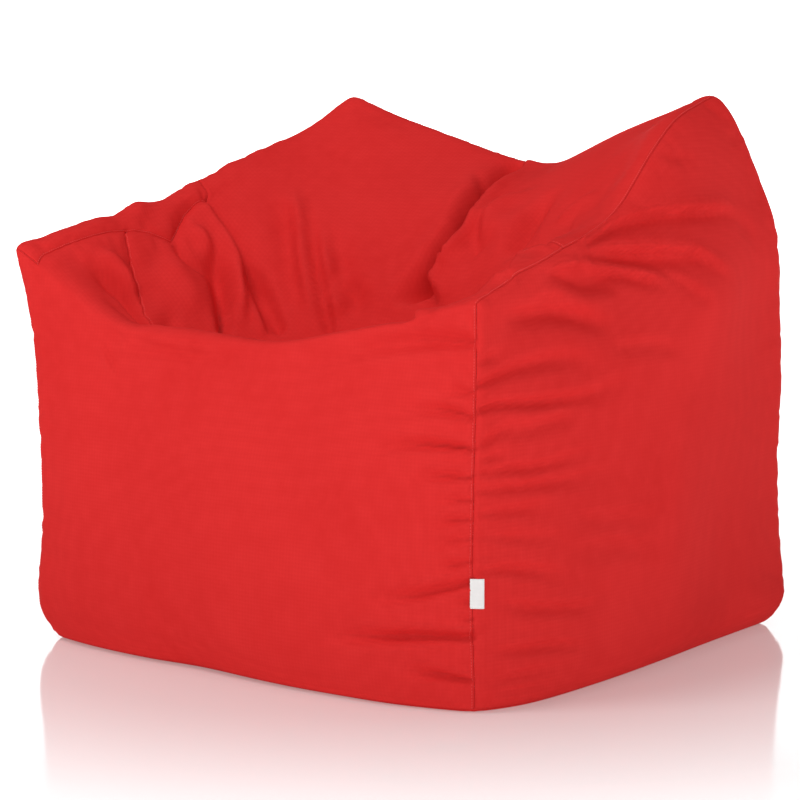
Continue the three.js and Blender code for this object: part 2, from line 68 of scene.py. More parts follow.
# ---------------------------------------------------------------- the lines of the cover, in mm
EDGE_L = [(-402, -380, 0), (-424, -402, 52), (-413, -404, 146), (-415, -404, 235), (-417, -404, 330), (-425, -404, 432), (-440, -405, 524), (-453, -407, 607)]
EDGE_N = [(413, -405, 0), (418, -413, 50), (416, -415, 150), (416, -414, 240), (416, -412, 330), (416, -408, 420), (415, -404, 500), (414, -401, 568)]
EDGE_R = [(416, 386, 0), (446, 400, 42), (436, 400, 110), (429, 400, 200), (428, 400, 350), (432, 399, 500), (432, 396, 610), (410, 380, 700), (382, 348, 790), (349, 312, 840)]
EDGE_F = [(-412, 382, 0), (-428, 400, 45), (-424, 402, 110), (-418, 402, 200), (-418, 402, 350), (-420, 400, 500), (-415, 390, 620), (-395, 365, 710), (-372, 332, 780), (-349, 292, 834)]
CREST = [(-453, -407, 607), (-360, -398, 549), (-258, -386, 489), (-185, -384, 487), (-65, -386, 486), (65, -388, 484), (190, -388, 505), (266, -390, 527), (318, -393, 545), (360, -396, 557), (414, -401, 568)]
BACK_TOP = [(-349, 292, 834), (-260, 300, 806), (-175, 308, 780), (-90, 316, 753), (-20, 322, 731), (25, 324, 727), (70, 323, 730), (140, 320, 756), (210, 317, 786), (280, 314, 815), (349, 312, 840)]
RIDGE_L = [(-453, -407, 607), (-438, -338, 624), (-430, -237, 650), (-428, -168, 668), (-427, -97, 682), (-421, -4, 708), (-402, 128, 752), (-378, 220, 792), (-349, 292, 834)]
RIDGE_R = [(414, -401, 568), (412, -320, 592), (410, -234, 614), (408, -169, 632), (406, -95, 656), (404, -33, 684), (398, 23, 724), (388, 90, 768), (374, 170, 806), (349, 312, 840)]
BASE_F = [(-402, -380, 0), (-300, -402, 0), (-178, -413, 0), (-74, -412, 0), (40, -428, 0), (133, -437, 0), (267, -438, 0), (350, -424, 0), (413, -405, 0)]
BASE_B = [(-412, 382, 0), (-280, 412, 0), (-100, 428, 0), (100, 428, 0), (280, 414, 0), (416, 386, 0)]
BASE_L = [(-402, -380, 0), (-420, -260, 0), (-438, -90, 0), (-440, 80, 0), (-428, 240, 0), (-412, 382, 0)]
BASE_R = [(413, -405, 0), (446, -310, 0), (450, -143, 0), (440, 36, 0), (428, 190, 0), (416, 386, 0)]
SAG = [
    (0, 255, 702), (0, 200, 682), (0, 113, 630), (0, 47, 580), (0, -5, 520), (0, -60, 450), (0, -130, 412), (0, -220, 416), (0, -300, 448), (0, -345, 472),
    (-110, 240, 716), (-200, 200, 728), (-290, 190, 752), (-110, 120, 648), (-200, 90, 655), (-300, 90, 690), (-110, 20, 570), (-200, -10, 575), (-290, 0, 620), (-340, 60, 690),
    (110, 240, 722), (200, 230, 752), (290, 220, 778), (110, 120, 660), (200, 100, 680), (300, 90, 715), (110, 10, 575), (200, -20, 590), (300, -30, 630), (360, 60, 722),
    (-110, -70, 460), (-110, -150, 425), (-110, -250, 425), (-110, -330, 462), (110, -70, 465), (110, -150, 430), (110, -250, 432), (110, -330, 466),
    (-220, -80, 505), (-220, -160, 470), (-220, -250, 450), (-220, -330, 470), (220, -80, 525), (220, -160, 490), (220, -250, 475), (220, -330, 492),
    (-310, -100, 575), (-310, -190, 540), (-310, -280, 515), (-310, -345, 515), (310, -100, 600), (310, -190, 570), (310, -280, 545), (310, -345, 540),
    (-370, -90, 635), (-370, -190, 610), (-375, -290, 590), (370, -90, 645), (370, -190, 618), (370, -290, 585),
]
ZIP_Z, ZIP_Y, ZIP_OPEN = 95.0, 440.0, 8.0  # the zip's height and plane, and half the height of its slot

# Creases: which grid, the kind (g groove, r ridge, s fold whose one side stands over the other), depth, width,
# how much is left of it at its two ends, and its line on the cover.
CREASES = [
    ("front", "g", 14.5, 14.2, (1, 0), [(409, -404, 507), (334, -401, 505), (270, -397, 497), (189, -394, 483), (118, -396, 464), (36, -403, 431)]),
    ("front", "g", 9.9, 6.6, (1, 0), [(413, -408, 439), (383, -410, 441), (354, -410, 446)]),
    ("front", "g", 13.1, 7.6, (1, 0), [(411, -410, 406), (377, -413, 411), (327, -416, 413), (273, -416, 411)]),
    ("front", "g", 15, 6.6, (1, 0), [(416, -411, 364), (380, -418, 365), (334, -423, 365), (293, -426, 360), (235, -431, 345)]),
    ("front", "g", 12.5, 6.6, (1, 0), [(417, -412, 324), (367, -423, 324), (306, -432, 322)]),
    ("front", "g", 8.6, 5.7, (1, 0), [(417, -414, 270), (385, -424, 265), (342, -434, 257)]),
    ("front", "g", 7.8, 5.7, (1, 0), [(417, -414, 241), (378, -427, 234), (350, -434, 231)]),
    ("front", "g", 9.9, 5.7, (1, 0), [(418, -414, 210), (386, -426, 203), (356, -435, 195)]),
    ("front", "g", 13.8, 7.6, (1, 0), [(416, -416, 182), (374, -431, 169), (316, -447, 154), (231, -459, 147)]),
    ("front", "g", 9.2, 4.8, (1, 0), [(417, -415, 154), (390, -426, 153)]),
    ("front", "g", 7.3, 4.8, (1, 0), [(418, -415, 131), (393, -425, 125)]),
    ("front", "g", 19.7, 7.6, (1, 0), [(421, -414, 106), (374, -431, 104), (288, -454, 96), (223, -460, 90), (161, -463, 77)]),
    ("front", "g", 13.8, 6.6, (1, 0), [(410, -416, 44), (373, -430, 49), (331, -442, 53), (299, -449, 47)]),
    ("front", "g", 8.3, 4.8, (1, 0), [(417, -413, 296), (390, -421, 293), (354, -428, 294)]),
    ("front", "s", 7.8, 8.5, (0, 0), [(-286, -396, 471), (-267, -398, 445), (-247, -404, 411)]),
    ("front", "g", 8.3, 9.5, (0, 0), [(-365, -402, 528), (-272, -391, 479), (-132, -391, 461), (25, -395, 457)]),
    ("right", "g", 15, 12.3, (0, 0), [(418, -361, 536), (423, -304, 539), (430, -239, 541), (439, -178, 529), (454, -104, 504)]),
    ("right", "g", 5.6, 5.7, (1, 0), [(418, -398, 480), (422, -368, 490), (425, -347, 491)]),
    ("right", "g", 10.3, 8.5, (1, 0), [(419, -399, 452), (425, -365, 462), (431, -327, 470), (439, -266, 476), (449, -205, 470), (461, -141, 451)]),
    ("right", "g", 12.3, 6.6, (1, 0), [(420, -402, 416), (426, -378, 423), (436, -334, 422), (446, -276, 421), (456, -214, 421), (461, -160, 428), (469, -68, 442)]),
    ("right", "g", 8.5, 6.6, (1, 0), [(421, -405, 367), (428, -380, 383), (436, -345, 391), (444, -309, 393)]),
    ("right", "g", 7.5, 8.5, (0, 0), [(433, -363, 378), (448, -289, 391), (460, -197, 401)]),
    ("right", "g", 6.4, 4.8, (1, 0), [(422, -404, 351), (429, -381, 354), (437, -352, 356)]),
    ("right", "g", 9.9, 5.7, (1, 0), [(423, -404, 334), (437, -359, 335), (450, -304, 333), (459, -245, 339), (468, -169, 344)]),
    ("right", "g", 8.7, 6.6, (1, 0), [(423, -405, 309), (438, -360, 309), (458, -267, 309), (466, -204, 310), (474, -117, 313)]),
    ("right", "g", 7.5, 5.7, (1, 0), [(424, -406, 278), (444, -344, 278), (459, -269, 276)]),
    ("right", "g", 5.6, 5.7, (1, 0), [(424, -407, 246), (435, -378, 243), (454, -309, 235), (466, -233, 221)]),
    ("right", "g", 4.5, 4.8, (1, 0), [(424, -409, 219), (434, -385, 220)]),
    ("right", "g", 9.9, 6.6, (1, 0), [(424, -409, 199), (442, -363, 198), (455, -311, 189), (466, -239, 171)]),
    ("right", "g", 9, 6.6, (0, 0), [(430, -398, 161), (448, -349, 144), (460, -293, 135), (468, -230, 128), (472, -168, 128)]),
    ("right", "g", 4.5, 4.8, (1, 0), [(425, -411, 129), (436, -385, 129)]),
    ("right", "g", 9, 5.7, (0, 0), [(427, -411, 84), (445, -366, 85), (461, -293, 82), (470, -194, 67)]),
    ("right", "g", 8.2, 5.7, (1, 0), [(428, -409, 40), (444, -366, 47), (461, -292, 50), (466, -246, 50)]),
    ("right", "g", 6.8, 4.8, (0, 0), [(433, -393, 30), (455, -309, 28), (462, -258, 31)]),
    ("right", "g", 4.9, 8.5, (0, 0), [(452, -159, 482), (465, -50, 481), (473, 50, 466)]),
    ("right", "g", 4.1, 13.3, (0, 0), [(461, -272, 212), (473, -162, 205), (476, -34, 181)]),
    ("right", "g", 4.1, 11.4, (0, 0), [(460, -269, 254), (474, -139, 241), (477, -9, 234)]),
    ("right", "s", -22.3, 11, (0.6, 0), [(412, -130, 633), (411, -88, 648), (414, -39, 660), (424, 26, 666), (433, 139, 667), (434, 218, 665), (436, 282, 647)]),
    ("right", "s", -18.6, 11, (0.3, 0), [(415, -169, 615), (419, -111, 620), (436, -5, 615), (448, 87, 605), (456, 136, 586), (459, 208, 557)]),
    ("right", "s", -19.9, 9.3, (0.3, 0), [(423, -149, 597), (434, -80, 589), (445, -19, 576), (456, 39, 561)]),
    ("right", "s", -9.4, 10, (0, 0), [(442, 0, 596), (460, 68, 557), (466, 126, 532)]),
    ("right", "s", -20.2, 8, (0.2, 0.4), [(415, -249, 594), (417, -210, 598), (420, -169, 601), (423, -145, 599)]),
    ("right", "g", 11.3, 9, (0, 0), [(420, -230, 585), (428, -150, 582), (438, -66, 581)]),
    ("right", "s", -13.4, 7, (0.2, 0.2), [(422, -272, 564), (424, -239, 565), (427, -208, 564)]),
    ("right", "g", 7.6, 8, (0, 0), [(427, -193, 572), (434, -132, 569), (441, -77, 565)]),
    ("right", "g", 5.5, 6, (0, 0), [(396, 72, 747), (406, 111, 741), (409, 161, 743)]),
    ("right", "g", 3, 16, (0, 0), [(437, 234, 651), (440, 275, 635), (446, 291, 607)]),
    ("right", "g", 7.8, 13, (0, 0), [(421, -152, 604), (431, -64, 605), (446, 30, 595), (459, 99, 571)]),
    ("top", "g", 24, 20, (0, 0), [(185, -21, 578), (182, 14, 615), (171, 73, 654), (165, 143, 693)]),
    ("top", "r", 18.2, 21.1, (0, 0), [(118, 31, 601), (86, 99, 640), (94, 144, 669), (135, 165, 695)]),
    ("top", "s", 22.3, 21.1, (1, 0), [(302, -219, 553), (392, -299, 593), (238, -8, 617), (255, 36, 659)]),
    ("top", "s", 14.2, 18.1, (0, 0), [(281, -92, 576), (386, -198, 619), (300, -3, 649), (312, 36, 682)]),
    ("top", "r", 10.1, 18.1, (0, 0), [(261, 10, 642), (280, 46, 676), (304, 65, 699)]),
    ("top", "g", 16.2, 21.1, (0, 0), [(115, 15, 583), (75, 66, 612), (55, 111, 638)]),
    ("top", "r", 14.8, 12.3, (0, 0), [(-317, 88, 696), (-262, 43, 642), (-216, -1, 589), (-172, -36, 529), (-129, -67, 471)]),
    ("top", "g", 17.8, 11.9, (0, 1), [(-276, 72, 669), (-212, 17, 604), (-158, -29, 530), (-113, -60, 472)]),
    ("top", "r", 14.8, 11.9, (0, 0), [(-288, 88, 684), (-224, 41, 627), (-166, -2, 567), (-119, -29, 511), (179, -374, 505)]),
    ("top", "g", 15, 17.3, (0, 0), [(-307, 60, 673), (-239, -9, 589), (-194, -45, 529), (-148, -82, 468)]),
    ("top", "g", 16.2, 20, (0, 0), [(-222, 61, 642), (-149, 12, 575), (-101, -15, 523), (200, -376, 510)]),
    ("top", "s", 17.6, 14.2, (0.5, 1), [(-386, -46, 669), (-362, -49, 644), (-311, -58, 596), (-261, -82, 538), (-235, -96, 507), (-196, -120, 468)]),
    ("top", "g", 19, 13.7, (0, 1), [(-291, -62, 577), (-242, -73, 528), (-181, -100, 471)]),
    ("top", "g", 29.9, 11.4, (0, 1), [(-346, -95, 612), (-320, -99, 585), (-292, -112, 552), (-266, -135, 516), (-229, -178, 470)]),
    ("top", "r", 14.1, 11.4, (0, 0), [(-304, -74, 582), (-255, -112, 515), (-217, -157, 469)]),
    ("top", "r", 10.6, 15.2, (0, 0), [(221, -385, 514), (-54, 3, 533), (-55, 40, 575)]),
    ("top", "g", 12.3, 7.6, (0.3, 0), [(-362, -141, 613), (-336, -148, 583), (-313, -131, 565), (-300, -110, 561)]),
    ("top", "g", 8.8, 8.5, (0.5, 0), [(-384, -49, 667), (-386, -81, 657), (-376, -113, 636), (-362, -140, 613)]),
    ("top", "r", 12.3, 11.4, (0, 0), [(-370, -99, 633), (-341, -98, 606), (-311, -109, 572)]),
    ("top", "g", 21, 12, (0.2, 1), [(-383, -343, 580), (-354, -318, 560), (-319, -301, 524), (-274, -310, 486)]),
    ("top", "r", 9.8, 14, (0, 0), [(-385, -309, 594), (-365, -286, 580), (-336, -278, 546), (-316, -282, 522)]),
    ("top", "g", 11.2, 12, (0, 0), [(-304, -236, 519), (-271, -254, 484), (-146, -383, 487)]),
    ("top", "r", 15.4, 28, (0, 0), [(-353, -202, 587), (-308, -181, 541), (-259, -214, 482)]),
    ("top", "g", 92, 15, (0.35, 0.4), [(-11, 291, 716), (-6, 256, 703), (10, 165, 664), (25, 100, 625), (20, 50, 584), (9, 17, 548), (2, 5, 532)]),
    ("top", "s", -32, 26, (0.25, 0.3), [(-3, 301, 719), (3, 254, 702), (24, 171, 669), (46, 100, 629), (48, 45, 586), (36, 7, 540), (292, -380, 539)]),
    ("top", "g", 14, 6, (0.3, 0.3), [(-47, 246, 704), (-18, 218, 689), (0, 211, 687), (-7, 243, 698), (-17, 285, 715)]),
    ("top", "r", 9, 16, (0, 0), [(84, 37, 591), (83, -1, 547), (338, -384, 554)]),
]

# ---------------------------------------------------------------- curves and grids
NX, NY, NZ = ((144, 132, 108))


def dense(pts, n=24):
    p = np.array(pts, float)
    q = np.vstack([2 * p[0] - p[1], p, 2 * p[-1] - p[-2]])
    out = []
    t = np.linspace(0, 1, n, endpoint=False)[:, None]
    for i in range(1, len(q) - 2):
        a, b, c, d = q[i - 1], q[i], q[i + 1], q[i + 2]
        out.append(0.5 * ((2 * b) + (-a + c) * t + (2 * a - 5 * b + 4 * c - d) * t**2 + (-a + 3 * b - 3 * c + d) * t**3))
    return np.vstack(out + [p[-1:]])


def resample(pts, n, by_height=False):
    line = dense(pts)
    s = line[:, 2].copy() if by_height else np.concatenate([[0], np.cumsum(np.linalg.norm(np.diff(line, axis=0), axis=1))])
    s /= s[-1]
    t = np.linspace(0, 1, n + 1)
    return np.stack([np.interp(t, s, line[:, k]) for k in range(3)], 1)


def coons(bot, top, left, right):
    nu, nv = len(bot) - 1, len(left) - 1
    u, v = np.linspace(0, 1, nu + 1)[None, :, None], np.linspace(0, 1, nv + 1)[:, None, None]
    return ((1 - v) * bot[None] + v * top[None] + (1 - u) * left[:, None] + u * right[:, None]
            - ((1 - u) * (1 - v) * bot[0] + u * (1 - v) * bot[-1] + (1 - u) * v * top[0] + u * v * top[-1]))


def plate(points, stiff, x):
    """Heights at x of a thin plate through scattered points."""
    c, r, n = points[:, :2], points[:, 2], len(points)
    kernel = lambda d: np.where(d > 0, d * d * np.log(np.maximum(d, 1e-9)), 0)
    A = kernel(np.linalg.norm(c[:, None] - c[None], axis=2) / 100) + stiff * np.eye(n)
    P = np.hstack([np.ones((n, 1)), c / 100])
    w = np.linalg.solve(np.block([[A, P], [P.T, np.zeros((3, 3))]]), np.concatenate([r, np.zeros(3)]))
    return kernel(np.linalg.norm(x[:, None] - c[None], axis=2) / 100) @ w[:n] + w[n] + (x / 100) @ w[n + 1:]


def smooth(t):
    t = np.clip(t, 0, 1)
    return t * t * (3 - 2 * t)


def swell(g, axis, amount, peak=0.42):
    t, s = np.linspace(0, 1, g.shape[0])[:, None], np.linspace(0, 1, g.shape[1])[None]
    g[..., axis] += amount * np.sin(np.pi * t ** (math.log(0.5) / math.log(peak))) * np.sin(np.pi * s) ** 0.75
    return g


def make_grids():
    """The six faces of the cover as grids of points, sharing their borders."""
    L, N, R, F = (resample(e, NZ) for e in (EDGE_L, EDGE_N, EDGE_R, EDGE_F))
    crest, ridge_l, ridge_r = resample(CREST, NX), resample(RIDGE_L, NY), resample(RIDGE_R, NY)
    base = [resample(b, n) for b, n in ((BASE_F, NX), (BASE_B, NX), (BASE_L, NY), (BASE_R, NY))]
    back_top = resample(BACK_TOP, NX)

    g = {}
    g["front"] = swell(coons(base[0], crest, L, N), 1, -34)
    g["right"] = swell(coons(base[3], ridge_r, N, R), 0, 30)
    g["left"] = swell(coons(base[2], ridge_l, L, F), 0, -30)
    g["floor"] = coons(base[0], base[1], base[2], base[3])
    # The rear is upright and flat along the zip.
    u = np.linspace(0, 1, NX + 1)[:, None]
    edge = F[J_ZIP] * (1 - u) + R[J_ZIP] * u
    away = smooth((np.abs(edge[:, 0] - edge[:, 0].mean()) - 290) / 140)
    band = np.stack([edge[:, 0], ZIP_Y + (edge[:, 1] - ZIP_Y) * away, ZIP_Z + (edge[:, 2] - ZIP_Z) * away], 1)
    low = coons(base[1], band, F[:J_ZIP + 1], R[:J_ZIP + 1])
    high = swell(coons(band, back_top, F[J_ZIP:], R[J_ZIP:]), 1, 34)
    rear = np.vstack([low[:-1], high])
    near = (1 - smooth((np.abs(rear[..., 2] - ZIP_Z) - 17) / 32)) * (1 - smooth((np.abs(rear[..., 0]) - 290) / 120))
    rear[1:, :, 1] += ((ZIP_Y - rear[..., 1]) * near)[1:]
    g["rear"] = rear
    # The seat skin sags between its rims.
    seat = coons(crest, back_top, ridge_l, ridge_r)
    rims = np.vstack([resample(CREST, 12), resample(BACK_TOP, 12), resample(RIDGE_L, 10)[1:-1], resample(RIDGE_R, 10)[1:-1]])
    z = plate(np.vstack([rims, np.array(SAG, float)]), 2e-2, seat[..., :2].reshape(-1, 2)).reshape(seat.shape[:2])
    u, v = np.linspace(0, 1, NX + 1)[None], np.linspace(0, 1, NY + 1)[:, None]
    e = smooth(np.minimum(np.minimum(u, 1 - u), np.minimum(v, 1 - v)) * 12)
    seat[..., 2] += (z - seat[..., 2]) * e
    # Rows and columns bend to follow the seam across the seat and the seam over the left arm.
    c, j = np.linspace(0, 1, NX + 1)[None], np.arange(NY + 1)[:, None]
    s = np.interp(np.minimum(c, 1 - c), [p[0] for p in SEAT_SEAM], [p[1] for p in SEAT_SEAM])
    row = np.where(j <= J_SEAT, s * j / J_SEAT, s + (1 - s) * (j - J_SEAT) / (NY - J_SEAT))
    a, i, a0 = np.interp(row, [p[0] for p in ARM_SEAM], [p[1] for p in ARM_SEAM]), np.arange(NX + 1)[None], I_SEAM / NX
    col = np.where(i <= I_SEAM, a * i / I_SEAM, a + (1 - a) * (i / NX - a0) / (1 - a0))
    g["seat"] = sample(seat, row, col)
    return g


I_SEAM = round(0.0556 * NX)  # the column of the left arm's seam
J_ZIP = round(0.111 * NZ)  # the row of the rear zip
J_SEAT = round(0.295 * NY)  # the row of the seam across the seat
J_CLOSE = round(0.53 * NY)  # where the left arm's seam goes over the ridge
K_OVER = max(1, round(NZ / 54))  # how many rows behind the ridge it runs from there
SEAT_SEAM = [(0, J_SEAT / NY), (0.0486, 0.265), (0.0625, 0.240), (0.104, 0.210), (0.139, 0.184), (0.167, 0.167), (0.201, 0.138), (0.3, 0.118), (0.5, 0.112)]
ARM_SEAM = [(0, I_SEAM / NX), (0.03, 0.040), (0.10, 0.036), (0.21, 0.042), (0.265, 0.050), (0.303, 0.064), (0.348, 0.090), (0.386, 0.074), (0.43, 0.056), (0.47, 0.048), (0.51, I_SEAM / NX), (1, I_SEAM / NX)]


def sample(grid, row, col):
    """A grid read at shares of its rows and columns."""
    r, c = np.clip(row, 0, 1) * (grid.shape[0] - 1), np.clip(col, 0, 1) * (grid.shape[1] - 1)
    r0, c0 = np.minimum(r.astype(int), grid.shape[0] - 2), np.minimum(c.astype(int), grid.shape[1] - 2)
    u, v = (r - r0)[..., None], (c - c0)[..., None]
    return (1 - u) * ((1 - v) * grid[r0, c0] + v * grid[r0, c0 + 1]) + u * ((1 - v) * grid[r0 + 1, c0] + v * grid[r0 + 1, c0 + 1])


SETTLE = True
TIPS = [((-349, 292, 834), (0, 2, 9), 66), ((349, 312, 838), (6, 3, 9), 50), ((-453, -407, 607), (-9, -6, 6), 42)]
LUMPS = [(0.02, 3.0, 16), (0.10, 3.5, 34), (0.20, 4.5, 40), (0.255, -4.0, 13), (0.335, 11.0, 24), (0.42, -4.0, 12), (0.50, 4.0, 19), (0.63, 3.6, 19), (0.715, 3.0, 14), (0.775, 2.4, 13)]
TURNED = {"front": False, "right": False, "rear": True, "left": True, "floor": True, "seat": False}


class Skin:
    """The cover as one welded mesh: points P, quads Q, and ids[name] for each grid's points."""

    def __init__(self, grids):
        names = list(grids)
        pts = np.vstack([grids[n].reshape(-1, 3) for n in names])
        key = np.round(pts * 20).astype(np.int64)
        _, first, inverse = np.unique(key, axis=0, return_index=True, return_inverse=True)
        inverse = inverse.reshape(-1)
        self.P = pts[first].copy()
        self.ids, at = {}, 0
        for n in names:
            h, w = grids[n].shape[:2]
            self.ids[n] = inverse[at:at + h * w].reshape(h, w)
            at += h * w
        self.Q = np.vstack([self.quads(n) for n in names])
        e = np.vstack([self.Q[:, [0, 1]], self.Q[:, [1, 2]], self.Q[:, [2, 3]], self.Q[:, [3, 0]]])
        e = np.unique(np.sort(e, axis=1), axis=0)
        self.E = e
        self.deg = np.bincount(e.ravel(), minlength=len(self.P)).astype(float)

    def quads(self, name, rows=slice(None), cols=slice(None)):
        i = self.ids[name][rows, cols]
        q = np.stack([i[:-1, :-1], i[:-1, 1:], i[1:, 1:], i[1:, :-1]], -1).reshape(-1, 4)
        return q[:, ::-1] if TURNED[name] else q

    def normals(self):
        a, b, c, d = (self.P[self.Q[:, k]] for k in range(4))
        n = np.cross(c - a, d - b)
        out = np.zeros_like(self.P)
        for k in range(4):
            for x in range(3):
                out[:, x] += np.bincount(self.Q[:, k], n[:, x], minlength=len(self.P))
        return out / np.maximum(np.linalg.norm(out, axis=1, keepdims=True), 1e-9)

    def mean(self, f):
        """Each point's neighbours' mean of f."""
        a, b = self.E[:, 0], self.E[:, 1]
        if f.ndim == 1:
            return (np.bincount(a, f[b], minlength=len(f)) + np.bincount(b, f[a], minlength=len(f))) / self.deg
        return np.stack([self.mean(f[:, k]) for k in range(f.shape[1])], 1)

    def relax(self, weight, times):
        for _ in range(times):
            self.P += (weight[:, None] if np.ndim(weight) else weight) * (self.mean(self.P) - self.P)


def to_line(points, line):
    """For each point: the distance to a polyline, the share of its length there, the line's direction and the nearest place."""
    line = np.array(line, float)
    if len(line) > 2:
        fine = dense(line, 6)
    else:
        fine = line
    seg = fine[1:] - fine[:-1]
    size = np.linalg.norm(seg, axis=1)
    start = np.concatenate([[0], np.cumsum(size)])
    best = np.full(len(points), 1e9)
    share, along, place = np.zeros(len(points)), np.zeros((len(points), 3)), np.zeros((len(points), 3))
    for k in range(len(seg)):
        if size[k] < 1e-6:
            continue
        t = np.clip(((points - fine[k]) @ seg[k]) / size[k] ** 2, 0, 1)
        q = fine[k] + t[:, None] * seg[k]
        d = np.linalg.norm(points - q, axis=1)
        m = d < best
        best[m], share[m] = d[m], (start[k] + t[m] * size[k]) / start[-1]
        along[m], place[m] = seg[k] / size[k], q[m]
    return best, share, along, place


def crease(skin, normal, ids, kind, amp, width, ends, line, step=3.5):
    """How far each of the points ids moves along its normal for one crease."""
    pts = skin.P[ids]
    lo, hi = np.min(line, axis=0) - 5 * width - 25, np.max(line, axis=0) + 5 * width + 25
    m = ((pts > lo) & (pts < hi)).all(1)
    out = np.zeros(len(ids))
    if not m.any():
        return out
    p, n = pts[m], normal[ids][m]
    d, t, along, place = to_line(p, line)
    # a fold that starts on a seam is narrow there and opens and dies away along its length
    rise, fall = (0.32, 0.38) if max(ends) < 1 else (0.45, 0.65)
    fade = (ends[0] + (1 - ends[0]) * smooth(t / rise)) * (ends[1] + (1 - ends[1]) * smooth((1 - t) / fall))
    if ends[0] >= 1 > ends[1]:
        width = width * (0.55 + 1.1 * t)
    elif ends[1] >= 1 > ends[0]:
        width = width * (1.65 - 1.1 * t)
    if kind == "s":
        side = ((p - place) * np.cross(along, n)).sum(1)
        inline = np.sqrt(np.maximum(d * d - side * side, 0))
        f = np.tanh(side / step) * np.exp(-np.abs(side) / width) * np.exp(-(inline / (0.7 * width)) ** 2)
    else:
        # one flank of a groove is steeper than the other, and its shoulders are soft
        side = ((p - place) * np.cross(along, n)).sum(1)
        x = d / width * (1 - 0.25 * np.tanh(side / (0.7 * width)))
        f = np.exp(-x * x) - 0.10 * np.exp(-((x - 2.2) / 1.0) ** 2)
        if kind == "g":
            f = -f
    out[m] = amp * fade * f
    return out


def puckers(skin, rng, grid, axis, index, spacing, length, amp, span=(0.04, 0.96), inward=1):
    """Short creases that leave a seam: the seam is row or column `index` of a grid, and they run into the grid from it."""
    ids, out = skin.ids[grid], []
    n = ids.shape[0] if axis == "col" else ids.shape[1]
    depth = ids.shape[1] if axis == "col" else ids.shape[0]
    at = lambda a, b: skin.P[ids[a, b] if axis == "col" else ids[b, a]]
    total = np.linalg.norm(np.diff([at(k, index) for k in range(n)], axis=0), axis=1).sum()
    pos = span[0] * total
    while pos < span[1] * total:
        a = pos / total * (n - 1)
        reach = length * rng.uniform(0.45, 1.4) ** 1.3
        drift = rng.normal(0, 0.10) * reach
        bend = rng.normal(0, 0.06) * reach
        pts = []
        for s in (0.0, 0.3, 0.65, 1.0):
            b = index + inward * s * reach / 6.0 * (NX / 144)
            c = a + (drift * s + bend * s * s) / 6.0 * (NX / 144)
            pts.append(at(int(np.clip(round(c), 0, n - 1)), int(np.clip(round(b), 0, depth - 1))))
        if np.linalg.norm(pts[-1] - pts[0]) > 10:
            k = rng.uniform(0.5, 1.25)
            out.append(("g", amp * k, rng.uniform(5.0, 8.5) * (0.8 + reach / 260), (1, 0), pts))
        pos += spacing * rng.uniform(0.55, 1.5)
    return out


# ---------------------------------------------------------------- the shape of the filled cover
GRIDS = make_grids()
skin = Skin(GRIDS)
FINE = NX / 144  # 1 on the fine grid
seams = {
    "L": skin.ids["front"][:, 0], "N": skin.ids["front"][:, -1], "R": skin.ids["rear"][:, -1], "F": skin.ids["rear"][:, 0],
    "crest": skin.ids["seat"][0, :], "back": skin.ids["seat"][-1, :], "ridge_l": skin.ids["seat"][:, 0], "ridge_r": skin.ids["seat"][:, -1],
    "bf": skin.ids["floor"][0, :], "bb": skin.ids["floor"][-1, :], "bl": skin.ids["floor"][:, 0], "br": skin.ids["floor"][:, -1],
}


def nearness(ids, reach):
    """1 on a line of points and less away from it."""
    line = skin.P[ids]
    line = line[:: max(1, len(line) // 40)]
    lo, hi = line.min(0) - 3.2 * reach, line.max(0) + 3.2 * reach
    m = ((skin.P > lo) & (skin.P < hi)).all(1)
    out = np.zeros(len(skin.P))
    if m.any():
        d = to_line(skin.P[m], line)[0]
        out[m] = np.exp(-(d / reach) ** 2)
    return out


def round_edges():
    """Takes the sharp edges off, more on a full edge than on a taut one, and keeps the outline where it was."""
    reach = {"L": 26, "N": 16, "R": 26, "F": 26, "crest": 26, "back": 15, "ridge_l": 22, "ridge_r": 22, "bf": 30, "bb": 28, "bl": 28, "br": 28}
    w = np.zeros(len(skin.P))
    for k, r in reach.items():
        w = np.maximum(w, nearness(seams[k], r))
    n = skin.normals()
    skin.P += n * (w * 5.0)[:, None]
    skin.relax(0.6 * w, max(4, round(24 * FINE ** 2)))
    # the ears and the tip of the left arm stand up where the corner of the filled bag pushes them
    for place, push, radius in TIPS:
        d = np.linalg.norm(skin.P - np.array(place, float), axis=1)
        skin.P += np.array(push, float) * np.exp(-(d / radius) ** 2)[:, None]
    skin.P[:, 2] = np.maximum(skin.P[:, 2], 0)


